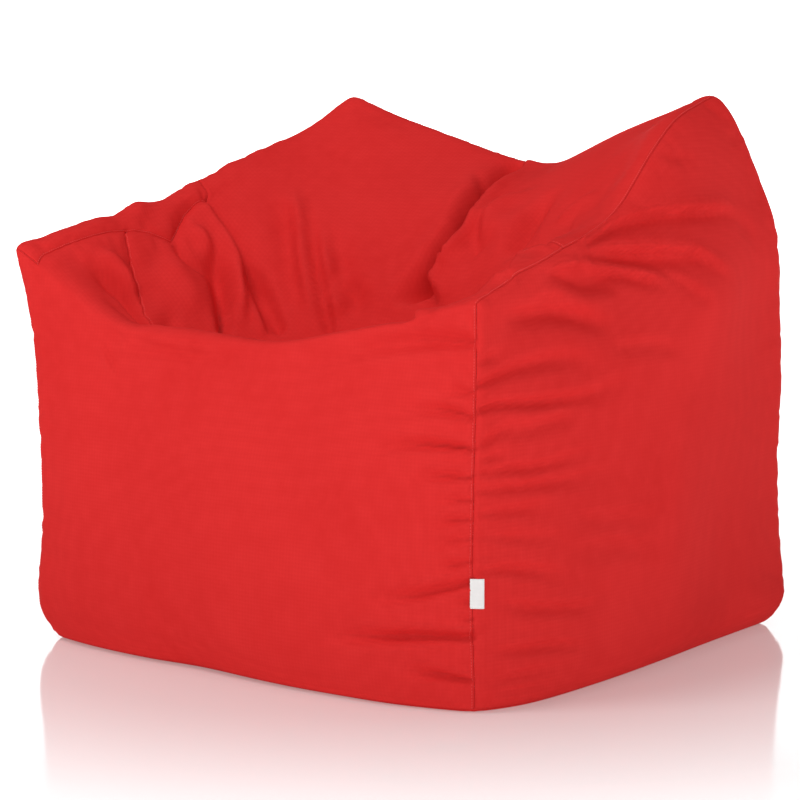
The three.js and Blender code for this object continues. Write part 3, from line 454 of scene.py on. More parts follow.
round_edges()
normal = skin.normals()
groups = {
    "front": np.unique(np.concatenate([skin.ids[k].ravel() for k in ("front", "right")])),
    "right": np.unique(np.concatenate([skin.ids[k].ravel() for k in ("front", "right")])),
    "top": np.unique(skin.ids["seat"].ravel()),
    "left": np.unique(np.concatenate([skin.ids[k].ravel() for k in ("left", "front", "rear")])),
    "rear": np.unique(np.concatenate([skin.ids[k].ravel() for k in ("rear", "left", "right")])),
}
move = np.zeros(len(skin.P))
for face, kind, amp, width, ends, line in CREASES:
    move[groups[face]] += crease(skin, normal, groups[face], kind, amp, width, ends, line)
rng = np.random.default_rng(519)
extra = [
    ("left", puckers(skin, rng, "left", "col", 0, 46, 130, 1.8)),
    ("left", puckers(skin, rng, "left", "col", NY, 46, 120, 1.8, inward=-1)),
    ("front", puckers(skin, rng, "front", "col", 0, 52, 90, 1.2)),
    ("right", puckers(skin, rng, "right", "col", NY, 50, 120, 1.4, inward=-1)),
    ("rear", puckers(skin, rng, "rear", "col", 0, 46, 120, 2.0)),
    ("rear", puckers(skin, rng, "rear", "col", NX, 46, 120, 2.0, inward=-1)),
    ("rear", puckers(skin, rng, "rear", "row", NZ, 50, 110, 2.4, inward=-1)),
    ("left", puckers(skin, rng, "left", "row", NZ, 44, 90, 2.4, inward=-1)),
    ("right", puckers(skin, rng, "right", "row", NZ, 60, 70, 1.2, inward=-1)),
    ("top", puckers(skin, rng, "seat", "row", J_SEAT, 17, 30, 2.0)),
    ("top", puckers(skin, rng, "seat", "row", J_SEAT, 17, 30, 2.0, inward=-1)),
    ("top", puckers(skin, rng, "seat", "col", I_SEAM, 22, 34, 1.8, span=(0.03, 0.5))),
    ("rear", puckers(skin, rng, "rear", "row", J_ZIP, 26, 34, 1.3, span=(0.24, 0.76))),
    ("rear", puckers(skin, rng, "rear", "row", 0, 44, 70, 1.8)),
    ("rear", puckers(skin, rng, "rear", "col", 0, 95, 260, 4.5)),
    ("rear", puckers(skin, rng, "rear", "col", NX, 95, 260, 4.5, inward=-1)),
    ("rear", puckers(skin, rng, "rear", "row", NZ, 120, 240, 4.5, inward=-1)),
    ("left", puckers(skin, rng, "left", "col", 0, 95, 240, 4.5)),
    ("left", puckers(skin, rng, "left", "col", NY, 100, 240, 4.5, inward=-1)),
    ("left", puckers(skin, rng, "left", "row", NZ, 110, 200, 4.5, inward=-1)),
    ("left", puckers(skin, rng, "left", "row", 0, 44, 70, 1.8)),
]
for face, found in extra:
    for kind, amp, width, ends, line in found:
        move[groups[face]] += crease(skin, normal, groups[face], kind, amp, width, ends, line)


def along_line(ids, share):
    return skin.P[ids][int(round(share * (len(ids) - 1)))]


# the roll of cloth over the left arm, and the small bunches along its ridge and at its tip
for share, size, radius in LUMPS:
    d = np.linalg.norm((skin.P - along_line(seams["ridge_l"], share)) * (1.0, 0.9, 1.0), axis=1)
    move += size * np.exp(-(d / radius) ** 2)
for line, depth, width, share in ((skin.ids["seat"][:, I_SEAM][: J_CLOSE + 1], 4.5, 9.0, 1.0), (skin.ids["seat"][J_SEAT, I_SEAM : NX - I_SEAM], 3.0, 9.0, 1.0), (seams["N"], 1.6, 7.0, 1.0), (seams["ridge_r"], 1.2, 7.0, 1.0)):
    pts = skin.P[line]
    lo, hi = pts.min(0) - 40, pts.max(0) + 40
    m = ((skin.P > lo) & (skin.P < hi)).all(1)
    d = to_line(skin.P[m], pts[:: max(1, len(pts) // 40)])[0]
    move[m] -= depth * np.exp(-(d / width) ** 2)
# slow unevenness of the filling under the cloth
swing = np.zeros(len(skin.P))
for _ in range(9):
    way = rng.normal(size=3)
    way *= 2 * math.pi / (rng.uniform(150, 380) * np.linalg.norm(way))
    swing += np.sin(skin.P @ way + rng.uniform(0, 2 * math.pi))
zip_near = np.exp(-((skin.P[:, 2] - ZIP_Z) / 40) ** 2) * (skin.P[:, 1] > 380) * (np.abs(skin.P[:, 0]) < 330)
move += 1.15 * swing * smooth(skin.P[:, 2] / 60) * (1 - zip_near)
base_shape, base_normal = skin.P.copy(), normal.copy()
skin.P += normal * move[:, None]
skin.relax(0.25, 1)


def settle(frames, cap):
    """The cover settles as cloth under a little pressure with its seams drawn up: on every second point, and carried to the rest."""
    step = 2 if FINE == 1 else 1
    half = {n: i[::step, ::step] for n, i in skin.ids.items()}
    used = np.unique(np.concatenate([h.ravel() for h in half.values()]))
    place = np.full(len(skin.P), -1)
    place[used] = np.arange(len(used))
    quads = np.vstack([np.stack([h[:-1, :-1], h[:-1, 1:], h[1:, 1:], h[1:, :-1]], -1).reshape(-1, 4)[:, :: -1 if TURNED[n] else 1] for n, h in half.items()])
    start = skin.P[used]
    me = bpy.data.meshes.new("settling")
    me.from_pydata((start / 1000).tolist(), [], place[quads].tolist())
    me.update()
    o = bpy.data.objects.new("settling", me)
    bpy.context.scene.collection.objects.link(o)
    drawn = np.zeros(len(skin.P))
    for k in ("L", "N", "R", "F", "crest", "back", "ridge_l", "ridge_r"):
        drawn[seams[k]] = 1
    drawn[skin.ids["seat"][J_SEAT]] = 1
    drawn[skin.ids["seat"][: J_CLOSE + 1, I_SEAM]] = 1
    drawn = drawn[used]
    held = np.where(drawn > 0, 0.95, 0.40)
    flat = np.zeros(len(skin.P))
    flat[skin.ids["floor"].ravel()] = 1
    flat[skin.ids["rear"][max(0, J_ZIP - 4) : J_ZIP + 5].ravel()] = 1
    held[flat[used] > 0] = 1
    pin = o.vertex_groups.new(name="pin")
    for w in np.unique(held):
        pin.add(np.where(held == w)[0].tolist(), float(w), "REPLACE")
    o.vertex_groups.new(name="drawn").add(np.where(drawn > 0)[0].tolist(), 1.0, "REPLACE")
    m = o.modifiers.new("cloth", "CLOTH")
    c = m.settings
    c.quality, c.mass = 5, 0.3
    c.tension_stiffness, c.compression_stiffness, c.shear_stiffness, c.bending_stiffness = 15, 15, 8, 5
    c.tension_damping = c.compression_damping = c.shear_damping = 5
    c.bending_damping, c.air_damping = 0.5, 3
    c.vertex_group_mass, c.pin_stiffness = "pin", 1.0
    c.vertex_group_shrink, c.shrink_min, c.shrink_max = "drawn", 0.0, 0.07
    c.use_pressure, c.uniform_pressure_force = True, 0.6
    c.effector_weights.gravity = 0
    m.collision_settings.use_collision = m.collision_settings.use_self_collision = False
    for f in range(1, frames + 1):
        bpy.context.scene.frame_set(f)
    found = o.evaluated_get(bpy.context.evaluated_depsgraph_get()).to_mesh()
    co = np.zeros(len(used) * 3)
    found.vertices.foreach_get("co", co)
    co = co.reshape(-1, 3) * 1000
    bpy.context.scene.frame_set(1)
    bpy.data.objects.remove(o)
    bpy.data.meshes.remove(me)
    shift = co - start
    size = np.linalg.norm(shift, axis=1, keepdims=True)
    shift *= np.minimum(1, cap / np.maximum(size, 1e-9))
    total, count = np.zeros_like(skin.P), np.zeros(len(skin.P))
    for n, h in half.items():
        g = shift[place[h]]
        if step == 2:
            rows, cols = skin.ids[n].shape
            g = sample(g, np.linspace(0, 1, rows)[:, None] + np.zeros((1, cols)), np.linspace(0, 1, cols)[None] + np.zeros((rows, 1)))
        np.add.at(total, skin.ids[n].ravel(), g.reshape(-1, 3))
        np.add.at(count, skin.ids[n].ravel(), 1)
    skin.P += total / count[:, None]
    print("settled: moved", size.max().round(1), "at most, mean", size.mean().round(2))


if SETTLE:
    settle(14, 8.0)
floor_ids = np.unique(skin.ids["floor"][2:-2, 2:-2])
skin.P[floor_ids, 2] = 0
skin.P[:, 2] = np.maximum(skin.P[:, 2], 0)
print("skin", len(skin.P), "points, box", skin.P.min(0).round(1), skin.P.max(0).round(1))

# ---------------------------------------------------------------- panels
THICK, HEM = 1.2, 3.2


def panel_quads(parts):
    return np.vstack([skin.quads(*p) for p in parts])


def mesh_object(name, verts, faces, smooth_faces=True):
    me = bpy.data.meshes.new(name)
    me.from_pydata([tuple(v) for v in verts], [], faces if isinstance(faces, list) else [tuple(f) for f in faces.tolist()])
    me.update()
    if smooth_faces:
        me.polygons.foreach_set("use_smooth", [True] * len(me.polygons))
    o = bpy.data.objects.new(name, me)
    bpy.context.scene.collection.objects.link(o)
    return o


def border(quads):
    """The directed edges used by one quad only, as (a, b, quad)."""
    e = np.vstack([quads[:, [k, (k + 1) % 4]] for k in range(4)])
    f = np.tile(np.arange(len(quads)), 4)
    order = np.sort(e, axis=1)
    _, inverse, count = np.unique(order, axis=0, return_inverse=True, return_counts=True)
    single = count[inverse.reshape(-1)] == 1
    return e[single], f[single]


def panel(name, quads, skin_normals, slot_shift=None):
    """A closed sheet of cloth for these quads, its edges turned in at the seams."""
    used, q = np.unique(quads, return_inverse=True)
    q = q.reshape(-1, 4)
    P, n = skin.P[used].copy(), skin_normals[used]
    if slot_shift is not None:
        P[:, 2] += slot_shift(P, used)
    e, f = border(q)
    inward = np.zeros_like(P)
    centre = P[q[f]].mean(1)
    for k in (0, 1):
        a, b = P[e[:, k]], P[e[:, 1 - k]]
        t = (b - a) / np.maximum(np.linalg.norm(b - a, axis=1, keepdims=True), 1e-9)
        d = centre - a
        d -= (d * t).sum(1, keepdims=True) * t
        d /= np.maximum(np.linalg.norm(d, axis=1, keepdims=True), 1e-9)
        np.add.at(inward, e[:, k], d)
    ring = np.unique(e)
    inward = inward[ring] / np.maximum(np.linalg.norm(inward[ring], axis=1, keepdims=True), 1e-9)
    inward -= (inward * n[ring]).sum(1, keepdims=True) * n[ring]
    N = len(P)
    outer = P.copy()
    outer[ring] = P[ring] + inward * 0.42 - n[ring] * 0.10
    inner = P - n * THICK
    inner[ring] = P[ring] + inward * 1.6 - n[ring] * (THICK + 0.3)
    hem1 = P[ring] + inward * 0.12 - n[ring] * 0.7
    hem2 = P[ring] + inward * 0.12 - n[ring] * HEM
    hem3 = P[ring] + inward * 1.2 - n[ring] * HEM
    verts = np.vstack([outer, inner, hem1, hem2, hem3])
    slot = np.full(N, -1)
    slot[ring] = np.arange(len(ring))
    M = len(ring)
    faces = [tuple(x) for x in q.tolist()] + [tuple(x) for x in (q[:, ::-1] + N).tolist()]
    chain = lambda v: [v, 2 * N + slot[v], 2 * N + M + slot[v], 2 * N + 2 * M + slot[v], N + v]
    for a, b in e.tolist():
        ca, cb = chain(a), chain(b)
        for k in range(4):
            faces.append((cb[k], ca[k], ca[k + 1], cb[k + 1]))
    verts[:, 2] = np.maximum(verts[:, 2], 0.0)
    return mesh_object(name, (verts + SHIFT) / 1000, faces)


skin_n = skin.normals()
S = slice
PANELS = {
    "cover_front": (["front_panel"], [("front",), ("seat", S(0, J_SEAT + 1), S(I_SEAM, None))]),
    "cover_seat_back": (["seat_back_panel"], [("seat", S(J_SEAT, J_CLOSE + 1), S(I_SEAM, None)), ("seat", S(J_CLOSE, None)), ("left", S(NZ - K_OVER, None), S(J_CLOSE, None))]),
    "cover_right": (["right_side_panel"], [("right",)]),
    "cover_left": (["left_side_panel"], [("left", S(0, NZ - K_OVER + 1)), ("left", S(NZ - K_OVER, None), S(0, J_CLOSE + 1)), ("seat", S(0, J_CLOSE + 1), S(0, I_SEAM + 1))]),
    "cover_rear_lower": (["rear_panel_lower"], [("rear", S(0, J_ZIP + 1))]),
    "cover_rear_upper": (["rear_panel_upper"], [("rear", S(J_ZIP, None))]),
    "cover_base": (["base_panel"], [("floor",)]),
}


def slot_for(sign):
    row = set(skin.ids["rear"][J_ZIP].tolist())

    def shift(P, used):
        on = np.array([u in row for u in used.tolist()])
        return np.where(on, sign * 7.0 * smooth((250 - np.abs(P[:, 0])) / 16), 0)

    return shift


panels = {}
for name, (nodes, parts) in PANELS.items():
    o = panel(name, panel_quads(parts), skin_n, {"cover_rear_lower": slot_for(-1), "cover_rear_upper": slot_for(1)}.get(name))
    panels[name] = o

# ---------------------------------------------------------------- materials


def node_material(name):
    m = bpy.data.materials.new(name)
    m.use_nodes = True
    t = m.node_tree
    t.nodes.clear()
    out, bsdf = t.nodes.new("ShaderNodeOutputMaterial"), t.nodes.new("ShaderNodeBsdfPrincipled")
    t.links.new(bsdf.outputs[0], out.inputs[0])
    return m, t, bsdf


def add(t, kind, props=None, **inputs):
    n = t.nodes.new(kind)
    for k, v in (props or {}).items():
        setattr(n, k, v)
    for k, v in inputs.items():
        sock = n.inputs[int(k[1:])] if k[0] == "i" and k[1:].isdigit() else n.inputs[k]
        if isinstance(v, bpy.types.NodeSocket):
            t.links.new(v, sock)
        else:
            sock.default_value = v
    return n


def mix(t, a, b, f):
    n = t.nodes.new("ShaderNodeMix")
    n.data_type = "RGBA"
    for sock, v in ((n.inputs[0], f), (n.inputs[6], a), (n.inputs[7], b)):
        if isinstance(v, bpy.types.NodeSocket):
            t.links.new(v, sock)
        else:
            sock.default_value = v
    return n.outputs[2]


def cloth_material(name, colour, dark, light, rough=0.5, sheen=0.25, weave=1100, bump=0.12, spec=0.008):
    """Plain-woven coated polyester: fine threads both ways, slow tone changes, soft grain."""
    m, t, bsdf = node_material(name)
    pos = add(t, "ShaderNodeTexCoord").outputs["Object"]
    big = add(t, "ShaderNodeTexNoise", Vector=pos, Scale=5.0, Detail=3.0, Roughness=0.55)
    mid = add(t, "ShaderNodeTexNoise", Vector=pos, Scale=45.0, Detail=4.0, Roughness=0.6)
    grain = add(t, "ShaderNodeTexNoise", Vector=pos, Scale=900.0, Detail=2.0, Roughness=0.6)
    waves = []
    for axis in ("X", "Y", "Z"):
        waves.append(add(t, "ShaderNodeTexWave", {"wave_type": "BANDS", "bands_direction": axis}, Vector=pos, Scale=weave / 20, Distortion=0.6, Detail=1.0).outputs["Fac"])
    s1 = add(t, "ShaderNodeMath", {"operation": "ADD"}, i0=waves[0], i1=waves[1]).outputs[0]
    s2 = add(t, "ShaderNodeMath", {"operation": "ADD"}, i0=s1, i1=waves[2]).outputs[0]
    s3 = add(t, "ShaderNodeMath", {"operation": "MULTIPLY_ADD"}, i0=grain.outputs["Fac"], i1=1.2, i2=s2).outputs[0]
    f_big = add(t, "ShaderNodeMapRange", **{"Value": big.outputs["Fac"], "From Min": 0.3, "From Max": 0.7}).outputs[0]
    f_mid = add(t, "ShaderNodeMapRange", **{"Value": mid.outputs["Fac"], "From Min": 0.3, "From Max": 0.7, "To Min": 0.0, "To Max": 0.5}).outputs[0]
    f_fine = add(t, "ShaderNodeMapRange", **{"Value": s3, "From Min": 0.6, "From Max": 3.2, "To Min": 0.0, "To Max": 0.5}).outputs[0]
    c = mix(t, dark, colour, f_big)
    c = mix(t, c, light, f_mid)
    c = mix(t, c, dark, f_fine)
    t.links.new(c, bsdf.inputs["Base Color"])
    r = add(t, "ShaderNodeMapRange", **{"Value": mid.outputs["Fac"], "From Min": 0.3, "From Max": 0.7, "To Min": rough - 0.05, "To Max": rough + 0.06}).outputs[0]
    t.links.new(r, bsdf.inputs["Roughness"])
    b = add(t, "ShaderNodeBump", Height=s3, Strength=bump, Distance=0.0004)
    t.links.new(b.outputs[0], bsdf.inputs["Normal"])
    bsdf.inputs["Sheen Weight"].default_value = sheen
    bsdf.inputs["Sheen Roughness"].default_value = 0.45
    bsdf.inputs["Specular IOR Level"].default_value = spec
    return m


RED = cloth_material("red_cloth", (0.70, 0.0300, 0.0290, 1), (0.63, 0.0230, 0.0222, 1), (0.74, 0.037, 0.036, 1), rough=0.66, sheen=0.0, bump=0.10)



def plain_material(name, one, two, scale, rough, metallic=0.0, bump=0.2, distance=0.0002, spec=0.4, kind="noise", fine=None):
    """Two tones over a noise, cells or ribs, with a bump of the same pattern and a finer grain on top."""
    m, t, bsdf = node_material(name)
    pos = add(t, "ShaderNodeTexCoord").outputs["Object"]
    if kind == "cells":
        f = add(t, "ShaderNodeTexVoronoi", Vector=pos, Scale=scale).outputs["Distance"]
    elif kind == "ribs":
        f = add(t, "ShaderNodeTexWave", {"wave_type": "BANDS", "bands_direction": "X"}, Vector=pos, Scale=scale, Distortion=0.3).outputs["Fac"]
    elif kind == "brushed":
        long = add(t, "ShaderNodeMapping", Vector=pos, Scale=(0.15, 1.0, 1.0)).outputs[0]
        f = add(t, "ShaderNodeTexNoise", Vector=long, Scale=scale, Detail=6.0, Roughness=0.7).outputs["Fac"]
    else:
        f = add(t, "ShaderNodeTexNoise", Vector=pos, Scale=scale, Detail=5.0, Roughness=0.6).outputs["Fac"]
    wear = add(t, "ShaderNodeTexNoise", Vector=pos, Scale=fine or scale * 0.11, Detail=3.0).outputs["Fac"]
    soft = add(t, "ShaderNodeMapRange", **{"Value": wear, "From Min": 0.3, "From Max": 0.7, "To Min": 0.0, "To Max": 0.5}).outputs[0]
    t.links.new(mix(t, mix(t, one, two, f), two, soft), bsdf.inputs["Base Color"])
    r = add(t, "ShaderNodeMapRange", **{"Value": f, "To Min": max(0.05, rough - 0.08), "To Max": min(1.0, rough + 0.08)}).outputs[0]
    t.links.new(r, bsdf.inputs["Roughness"])
    t.links.new(add(t, "ShaderNodeBump", Height=f, Strength=bump, Distance=distance).outputs[0], bsdf.inputs["Normal"])
    bsdf.inputs["Metallic"].default_value = metallic
    bsdf.inputs["Specular IOR Level"].default_value = spec
    return m


THREAD = plain_material("red_thread", (0.74, 0.052, 0.050, 1), (0.80, 0.080, 0.076, 1), 2400, 0.55, bump=0.3)
LINER = cloth_material("liner_cotton", (0.80, 0.79, 0.75, 1), (0.72, 0.71, 0.67, 1), (0.84, 0.83, 0.80, 1), rough=0.8, sheen=0.1, bump=0.2)
BEADS = plain_material("foam_beads", (0.86, 0.86, 0.86, 1), (0.66, 0.66, 0.67, 1), 260, 0.7, bump=0.9, distance=0.0015, kind="cells")
TAPE = plain_material("zip_tape_weave", (0.52, 0.012, 0.012, 1), (0.40, 0.008, 0.008, 1), 230, 0.7, bump=0.4, kind="ribs")
COIL = plain_material("zip_nylon", (0.46, 0.012, 0.012, 1), (0.36, 0.008, 0.009, 1), 900, 0.35, bump=0.1)
METAL = plain_material("nickel", (0.72, 0.72, 0.71, 1), (0.56, 0.56, 0.55, 1), 900, 0.30, metallic=1.0, bump=0.12, kind="brushed")
LABEL = cloth_material("label_satin", (0.86, 0.84, 0.83, 1), (0.80, 0.78, 0.77, 1), (0.90, 0.88, 0.87, 1), rough=0.45, sheen=0.1, bump=0.08)
STRIP = plain_material("closure_nap", (0.78, 0.78, 0.75, 1), (0.62, 0.62, 0.59, 1), 1600, 0.9, bump=1.0, distance=0.0006)


def face_lengths(ids):
    """Mean width along the rows and mean length along the columns of a grid of points, in metres."""
    g = skin.P[ids]
    return np.linalg.norm(np.diff(g, axis=1), axis=2).sum(1).mean() / 1000, np.linalg.norm(np.diff(g, axis=0), axis=2).sum(0).mean() / 1000


def mesh_area(o):
    return sum(p.area for p in o.data.polygons)


def declare(o, width, length):
    """The piece was cut flat to about this size; its own area is measured, both sides over two."""
    area = mesh_area(o) / 2
    grow = max(1.0, math.sqrt(area / (width * length)) * 1.0005)
    width, length = width * grow, length * grow
    CUTS.append((o.name, round(width, 3), round(length, 3), round(area, 4)))


CUTS = []
for name, o in panels.items():
    o.data.materials.append(RED)
    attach(o, "root")
    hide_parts(*PANELS[name][0])

# ---------------------------------------------------------------- stitches


def stitches(name, line, beside, offset, span=(0.0, 1.0), pitch=4.2, long=3.0, radius=0.36, lift=0.0):
    """A row of thread stitches on the cloth beside a seam: each is a short capsule whose ends go down into it."""
    p, q = skin.P[line], skin.P[beside]
    reach = np.maximum(np.linalg.norm(q - p, axis=1, keepdims=True), 1e-6)
    f = np.minimum(offset / reach, 1.0)
    pts, nor = p + (q - p) * f, skin_n[line] * (1 - f) + skin_n[beside] * f
    s = np.concatenate([[0], np.cumsum(np.linalg.norm(np.diff(pts, axis=0), axis=1))])
    total, verts, faces, sides = s[-1], [], [], 6
    at = lambda d: np.array([np.interp(d, s, pts[:, k]) for k in range(3)])
    turn = lambda d: np.array([np.interp(d, s, nor[:, k]) for k in range(3)])
    d = span[0] * total + pitch / 2
    while d < span[1] * total - pitch / 2:
        a, b, n = at(d - long / 2), at(d + long / 2), turn(d)
        t = (b - a) / max(np.linalg.norm(b - a), 1e-6)
        n = n - (n @ t) * t
        n /= max(np.linalg.norm(n), 1e-6)
        w = np.cross(t, n)
        base = len(verts)
        for u, r, h in ((0.0, 0.45, -0.30), (0.14, 0.9, 0.02), (0.5, 1.0, 0.12), (0.86, 0.9, 0.02), (1.0, 0.45, -0.30)):
            c = at(d - long / 2 + u * long) + n * (h + lift)
            for k in range(sides):
                g = 2 * math.pi * k / sides
                verts.append(c + (w * math.cos(g) + n * math.sin(g)) * radius * r)
        for r in range(4):
            for k in range(sides):
                x, y = base + r * sides + k, base + r * sides + (k + 1) % sides
                faces.append((x, x + sides, y + sides, y))
        faces.append(tuple(base + k for k in range(sides)))
        faces.append(tuple(base + 4 * sides + k for k in reversed(range(sides))))
        d += pitch
    v = (np.array(verts) + SHIFT) / 1000
    v[:, 2] = np.maximum(v[:, 2], 0)
    o = mesh_object(name, v, faces)
    o.data.materials.append(THREAD)
    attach(o, "root")
    return o


ids = skin.ids
stitches("stitch_front_right", ids["front"][:, -1], ids["front"][:, -2], 3.4)
stitches("stitch_front_left", ids["front"][:, 0], ids["front"][:, 1], 3.4)
stitches("stitch_left_arm", ids["seat"][: J_CLOSE + 1, I_SEAM], ids["seat"][: J_CLOSE + 1, I_SEAM - 1], 2.4)
stitches("stitch_seat", ids["seat"][J_SEAT, I_SEAM:], ids["seat"][J_SEAT + 1, I_SEAM:], 2.4)
stitches("stitch_right_ridge", ids["seat"][:, -1], ids["seat"][:, -2], 3.0)
stitches("stitch_back_top", ids["seat"][-1], ids["seat"][-2], 3.0)
stitches("stitch_rear_right", ids["rear"][:, -1], ids["rear"][:, -2], 3.4)
stitches("stitch_rear_left", ids["rear"][:, 0], ids["rear"][:, 1], 3.4)
stitches("stitch_zip_upper", ids["rear"][J_ZIP + 1], ids["rear"][J_ZIP + 2], 2.0, span=(0.2, 0.8), lift=0.3)
stitches("stitch_zip_lower", ids["rear"][J_ZIP - 1], ids["rear"][J_ZIP - 2], 2.0, span=(0.2, 0.8), lift=0.3)

# ---------------------------------------------------------------- the inner bag, its closure and its filling
STEP = 3 if FINE == 1 else 2
sunk = ((skin.P - base_shape) * base_normal).sum(1)


def under(depth, base_depth):
    """Every STEP-th point of the cover, so far under it that no crease reaches it, as grids of points."""
    low = sunk.copy()
    for _ in range(STEP + 1):
        nxt = low.copy()
        np.minimum.at(nxt, skin.E[:, 0], low[skin.E[:, 1]])
        np.minimum.at(nxt, skin.E[:, 1], low[skin.E[:, 0]])
        low = nxt
    low = np.minimum(low, 0)
    for _ in range(3):
        low = np.minimum(low, skin.mean(low))
    out = {}
    for n, i in ids.items():
        k = i[::STEP, ::STEP]
        out[n] = base_shape[k] + base_normal[k] * (low[k] - depth)[..., None]
        out[n][..., 2] = np.maximum(out[n][..., 2], base_depth)
    return out


class Inner:
    """A smaller skin inside the cover."""

    def __init__(self, depth, base_depth):
        g = under(depth, base_depth)
        s = Skin.__new__(Skin)
        keys = {n: ids[n][::STEP, ::STEP] for n in ids}
        used, inv = np.unique(np.concatenate([k.ravel() for k in keys.values()]), return_inverse=True)
        inv = inv.reshape(-1)
        s.P, s.ids, at = np.zeros((len(used), 3)), {}, 0
        for n, k in keys.items():
            s.ids[n] = inv[at : at + k.size].reshape(k.shape)
            s.P[s.ids[n]] = g[n]
            at += k.size
        s.Q = np.vstack([s.quads(n) for n in keys])
        e = np.vstack([s.Q[:, [0, 1]], s.Q[:, [1, 2]], s.Q[:, [2, 3]], s.Q[:, [3, 0]]])
        s.E = np.unique(np.sort(e, axis=1), axis=0)
        s.deg = np.bincount(s.E.ravel(), minlength=len(s.P)).astype(float)
        self.skin = s


def inner_panel(s, name, quads, thick):
    """A closed sheet for these quads of an inner skin, its edge meeting its neighbours'."""
    n = s.normals()
    used, q = np.unique(quads, return_inverse=True)
    q = q.reshape(-1, 4)
    P, m = s.P[used], n[used]
    e, f = border(q)
    inner = P - m * thick
    inner[:, 2] = np.maximum(inner[:, 2], P[:, 2].min() + (thick if name == "liner_bag_base" else 0))
    faces = [tuple(x) for x in q.tolist()] + [tuple(x) for x in (q[:, ::-1] + len(P)).tolist()]
    faces += [(b, a, a + len(P), b + len(P)) for a, b in e.tolist()]
    return mesh_object(name, (np.vstack([P, inner]) + SHIFT) / 1000, faces)


liner = Inner(7.0, 2.0).skin
split_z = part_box("liner_rear_lower")[1][2] * 1000
rear_z = liner.P[liner.ids["rear"]][:, :, 2].mean(1)
SPLIT = int(np.argmin(np.abs(rear_z - split_z)))
LINERS = {
    "liner_bag_front": ("liner_front", ("front",)), "liner_bag_top": ("liner_top", ("seat",)), "liner_bag_left": ("liner_left", ("left",)),
    "liner_bag_right": ("liner_right", ("right",)), "liner_bag_rear_lower": ("liner_rear_lower", ("rear", S(0, SPLIT + 1))),
    "liner_bag_rear_upper": ("liner_rear_upper", ("rear", S(SPLIT, None))), "liner_bag_base": ("liner_base", ("floor",)),
}
body_skin = Inner(10.0, 3.4).skin
beads = mesh_object("bead_filling", (body_skin.P + SHIFT) / 1000, body_skin.Q)
beads.data.materials.append(BEADS)
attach(beads, "root")
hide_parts("bead_fill")
liners = {}
for name, (node, part) in LINERS.items():
    o = inner_panel(liner, name, liner.quads(*part), 0.8)
    o.data.materials.append(LINER)
    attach(o, "root")
    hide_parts(node)
    w, l = face_lengths(ids[part[0]])
    if len(part) > 1:
        share = SPLIT / (len(liner.ids["rear"]) - 1)
        l *= share if name.endswith("lower") else 1 - share
    declare(o, w, l)
    liners[name] = o

grids_of = {"cover_front": ("front", 1.0), "cover_seat_back": ("seat", 0.9), "cover_right": ("right", 1.0), "cover_left": ("left", 1.0), "cover_rear_lower": ("rear", J_ZIP / NZ), "cover_rear_upper": ("rear", 1 - J_ZIP / NZ), "cover_base": ("floor", 1.0)}
for name, o in panels.items():
    g, share = grids_of[name]
    w, l = face_lengths(ids[g])
    declare(o, w, l * share)


def rear_y(x, z):
    """How far back the cover's rear is at these places."""
    g = skin.P[ids["rear"]].reshape(-1, 3)
    out = []
    for a, b in zip(np.ravel(x), np.ravel(z)):
        d = (g[:, 0] - a) ** 2 + (g[:, 2] - b) ** 2
        k = np.argpartition(d, 6)[:6]
        w = 1 / (d[k] + 4)
        out.append((g[k, 1] * w).sum() / w.sum())
    return np.array(out).reshape(np.shape(x))


def thin_sheet(name, X, Y, Z, thick, material, node, axis=1):
    """A closed thin sheet on a grid of places, with its back at Y - thick."""
    h, w = X.shape
    front = np.stack([X, Y, Z], -1).reshape(-1, 3)
    back = front.copy()
    back[:, axis] -= thick
    quads = np.array([(r * w + c, r * w + c + 1, (r + 1) * w + c + 1, (r + 1) * w + c) for r in range(h - 1) for c in range(w - 1)])
    e, _ = border(quads)
    n = h * w
    faces = [tuple(x[::-1]) for x in quads.tolist()] + [tuple(v + n for v in x) for x in quads.tolist()] + [(a, b, b + n, a + n) for a, b in e.tolist()]
    o = mesh_object(name, (np.vstack([front, back]) + SHIFT) / 1000, faces)
    o.data.materials.append(material)
    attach(o, "root")
    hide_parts(node)
    return o


def cad_span(node):
    """A CAD node's box in the cover's own millimetres."""
    lo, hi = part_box(node)
    return np.array(lo) * 1000 - SHIFT, np.array(hi) * 1000 - SHIFT


for name, node, depth, thick in (("closure_loop_strip", "closure_loop_tape", 4.6, 0.7), ("closure_hook_strip", "closure_hook_tape", 3.4, 0.7)):
    lo, hi = cad_span(node)
    x, z = np.linspace(lo[0] + 1, hi[0] - 1, 60), np.linspace(hi[2] - 1 - min(24, hi[2] - lo[2] - 2), hi[2] - 1, 6)
    X, Z = np.meshgrid(x, z)
    o = thin_sheet(name, X, rear_y(X, Z) - depth, Z, thick, STRIP, node)
    declare(o, (x[-1] - x[0]) / 1000, (z[-1] - z[0]) / 1000)
lo, hi = cad_span("care_label")
X, Z = np.meshgrid(np.linspace(lo[0] + 0.5, hi[0] - 0.5, 12), np.linspace(lo[2] + 0.5, hi[2] - 0.5, 14))
care = thin_sheet("care_tag", X, rear_y(X, Z) - 2.4 - 0.25 * np.sin(X / 9.0), Z, 0.3, LABEL, "care_label")
declare(care, (hi[0] - lo[0] - 1) / 1000, (hi[2] - lo[2] - 1) / 1000)

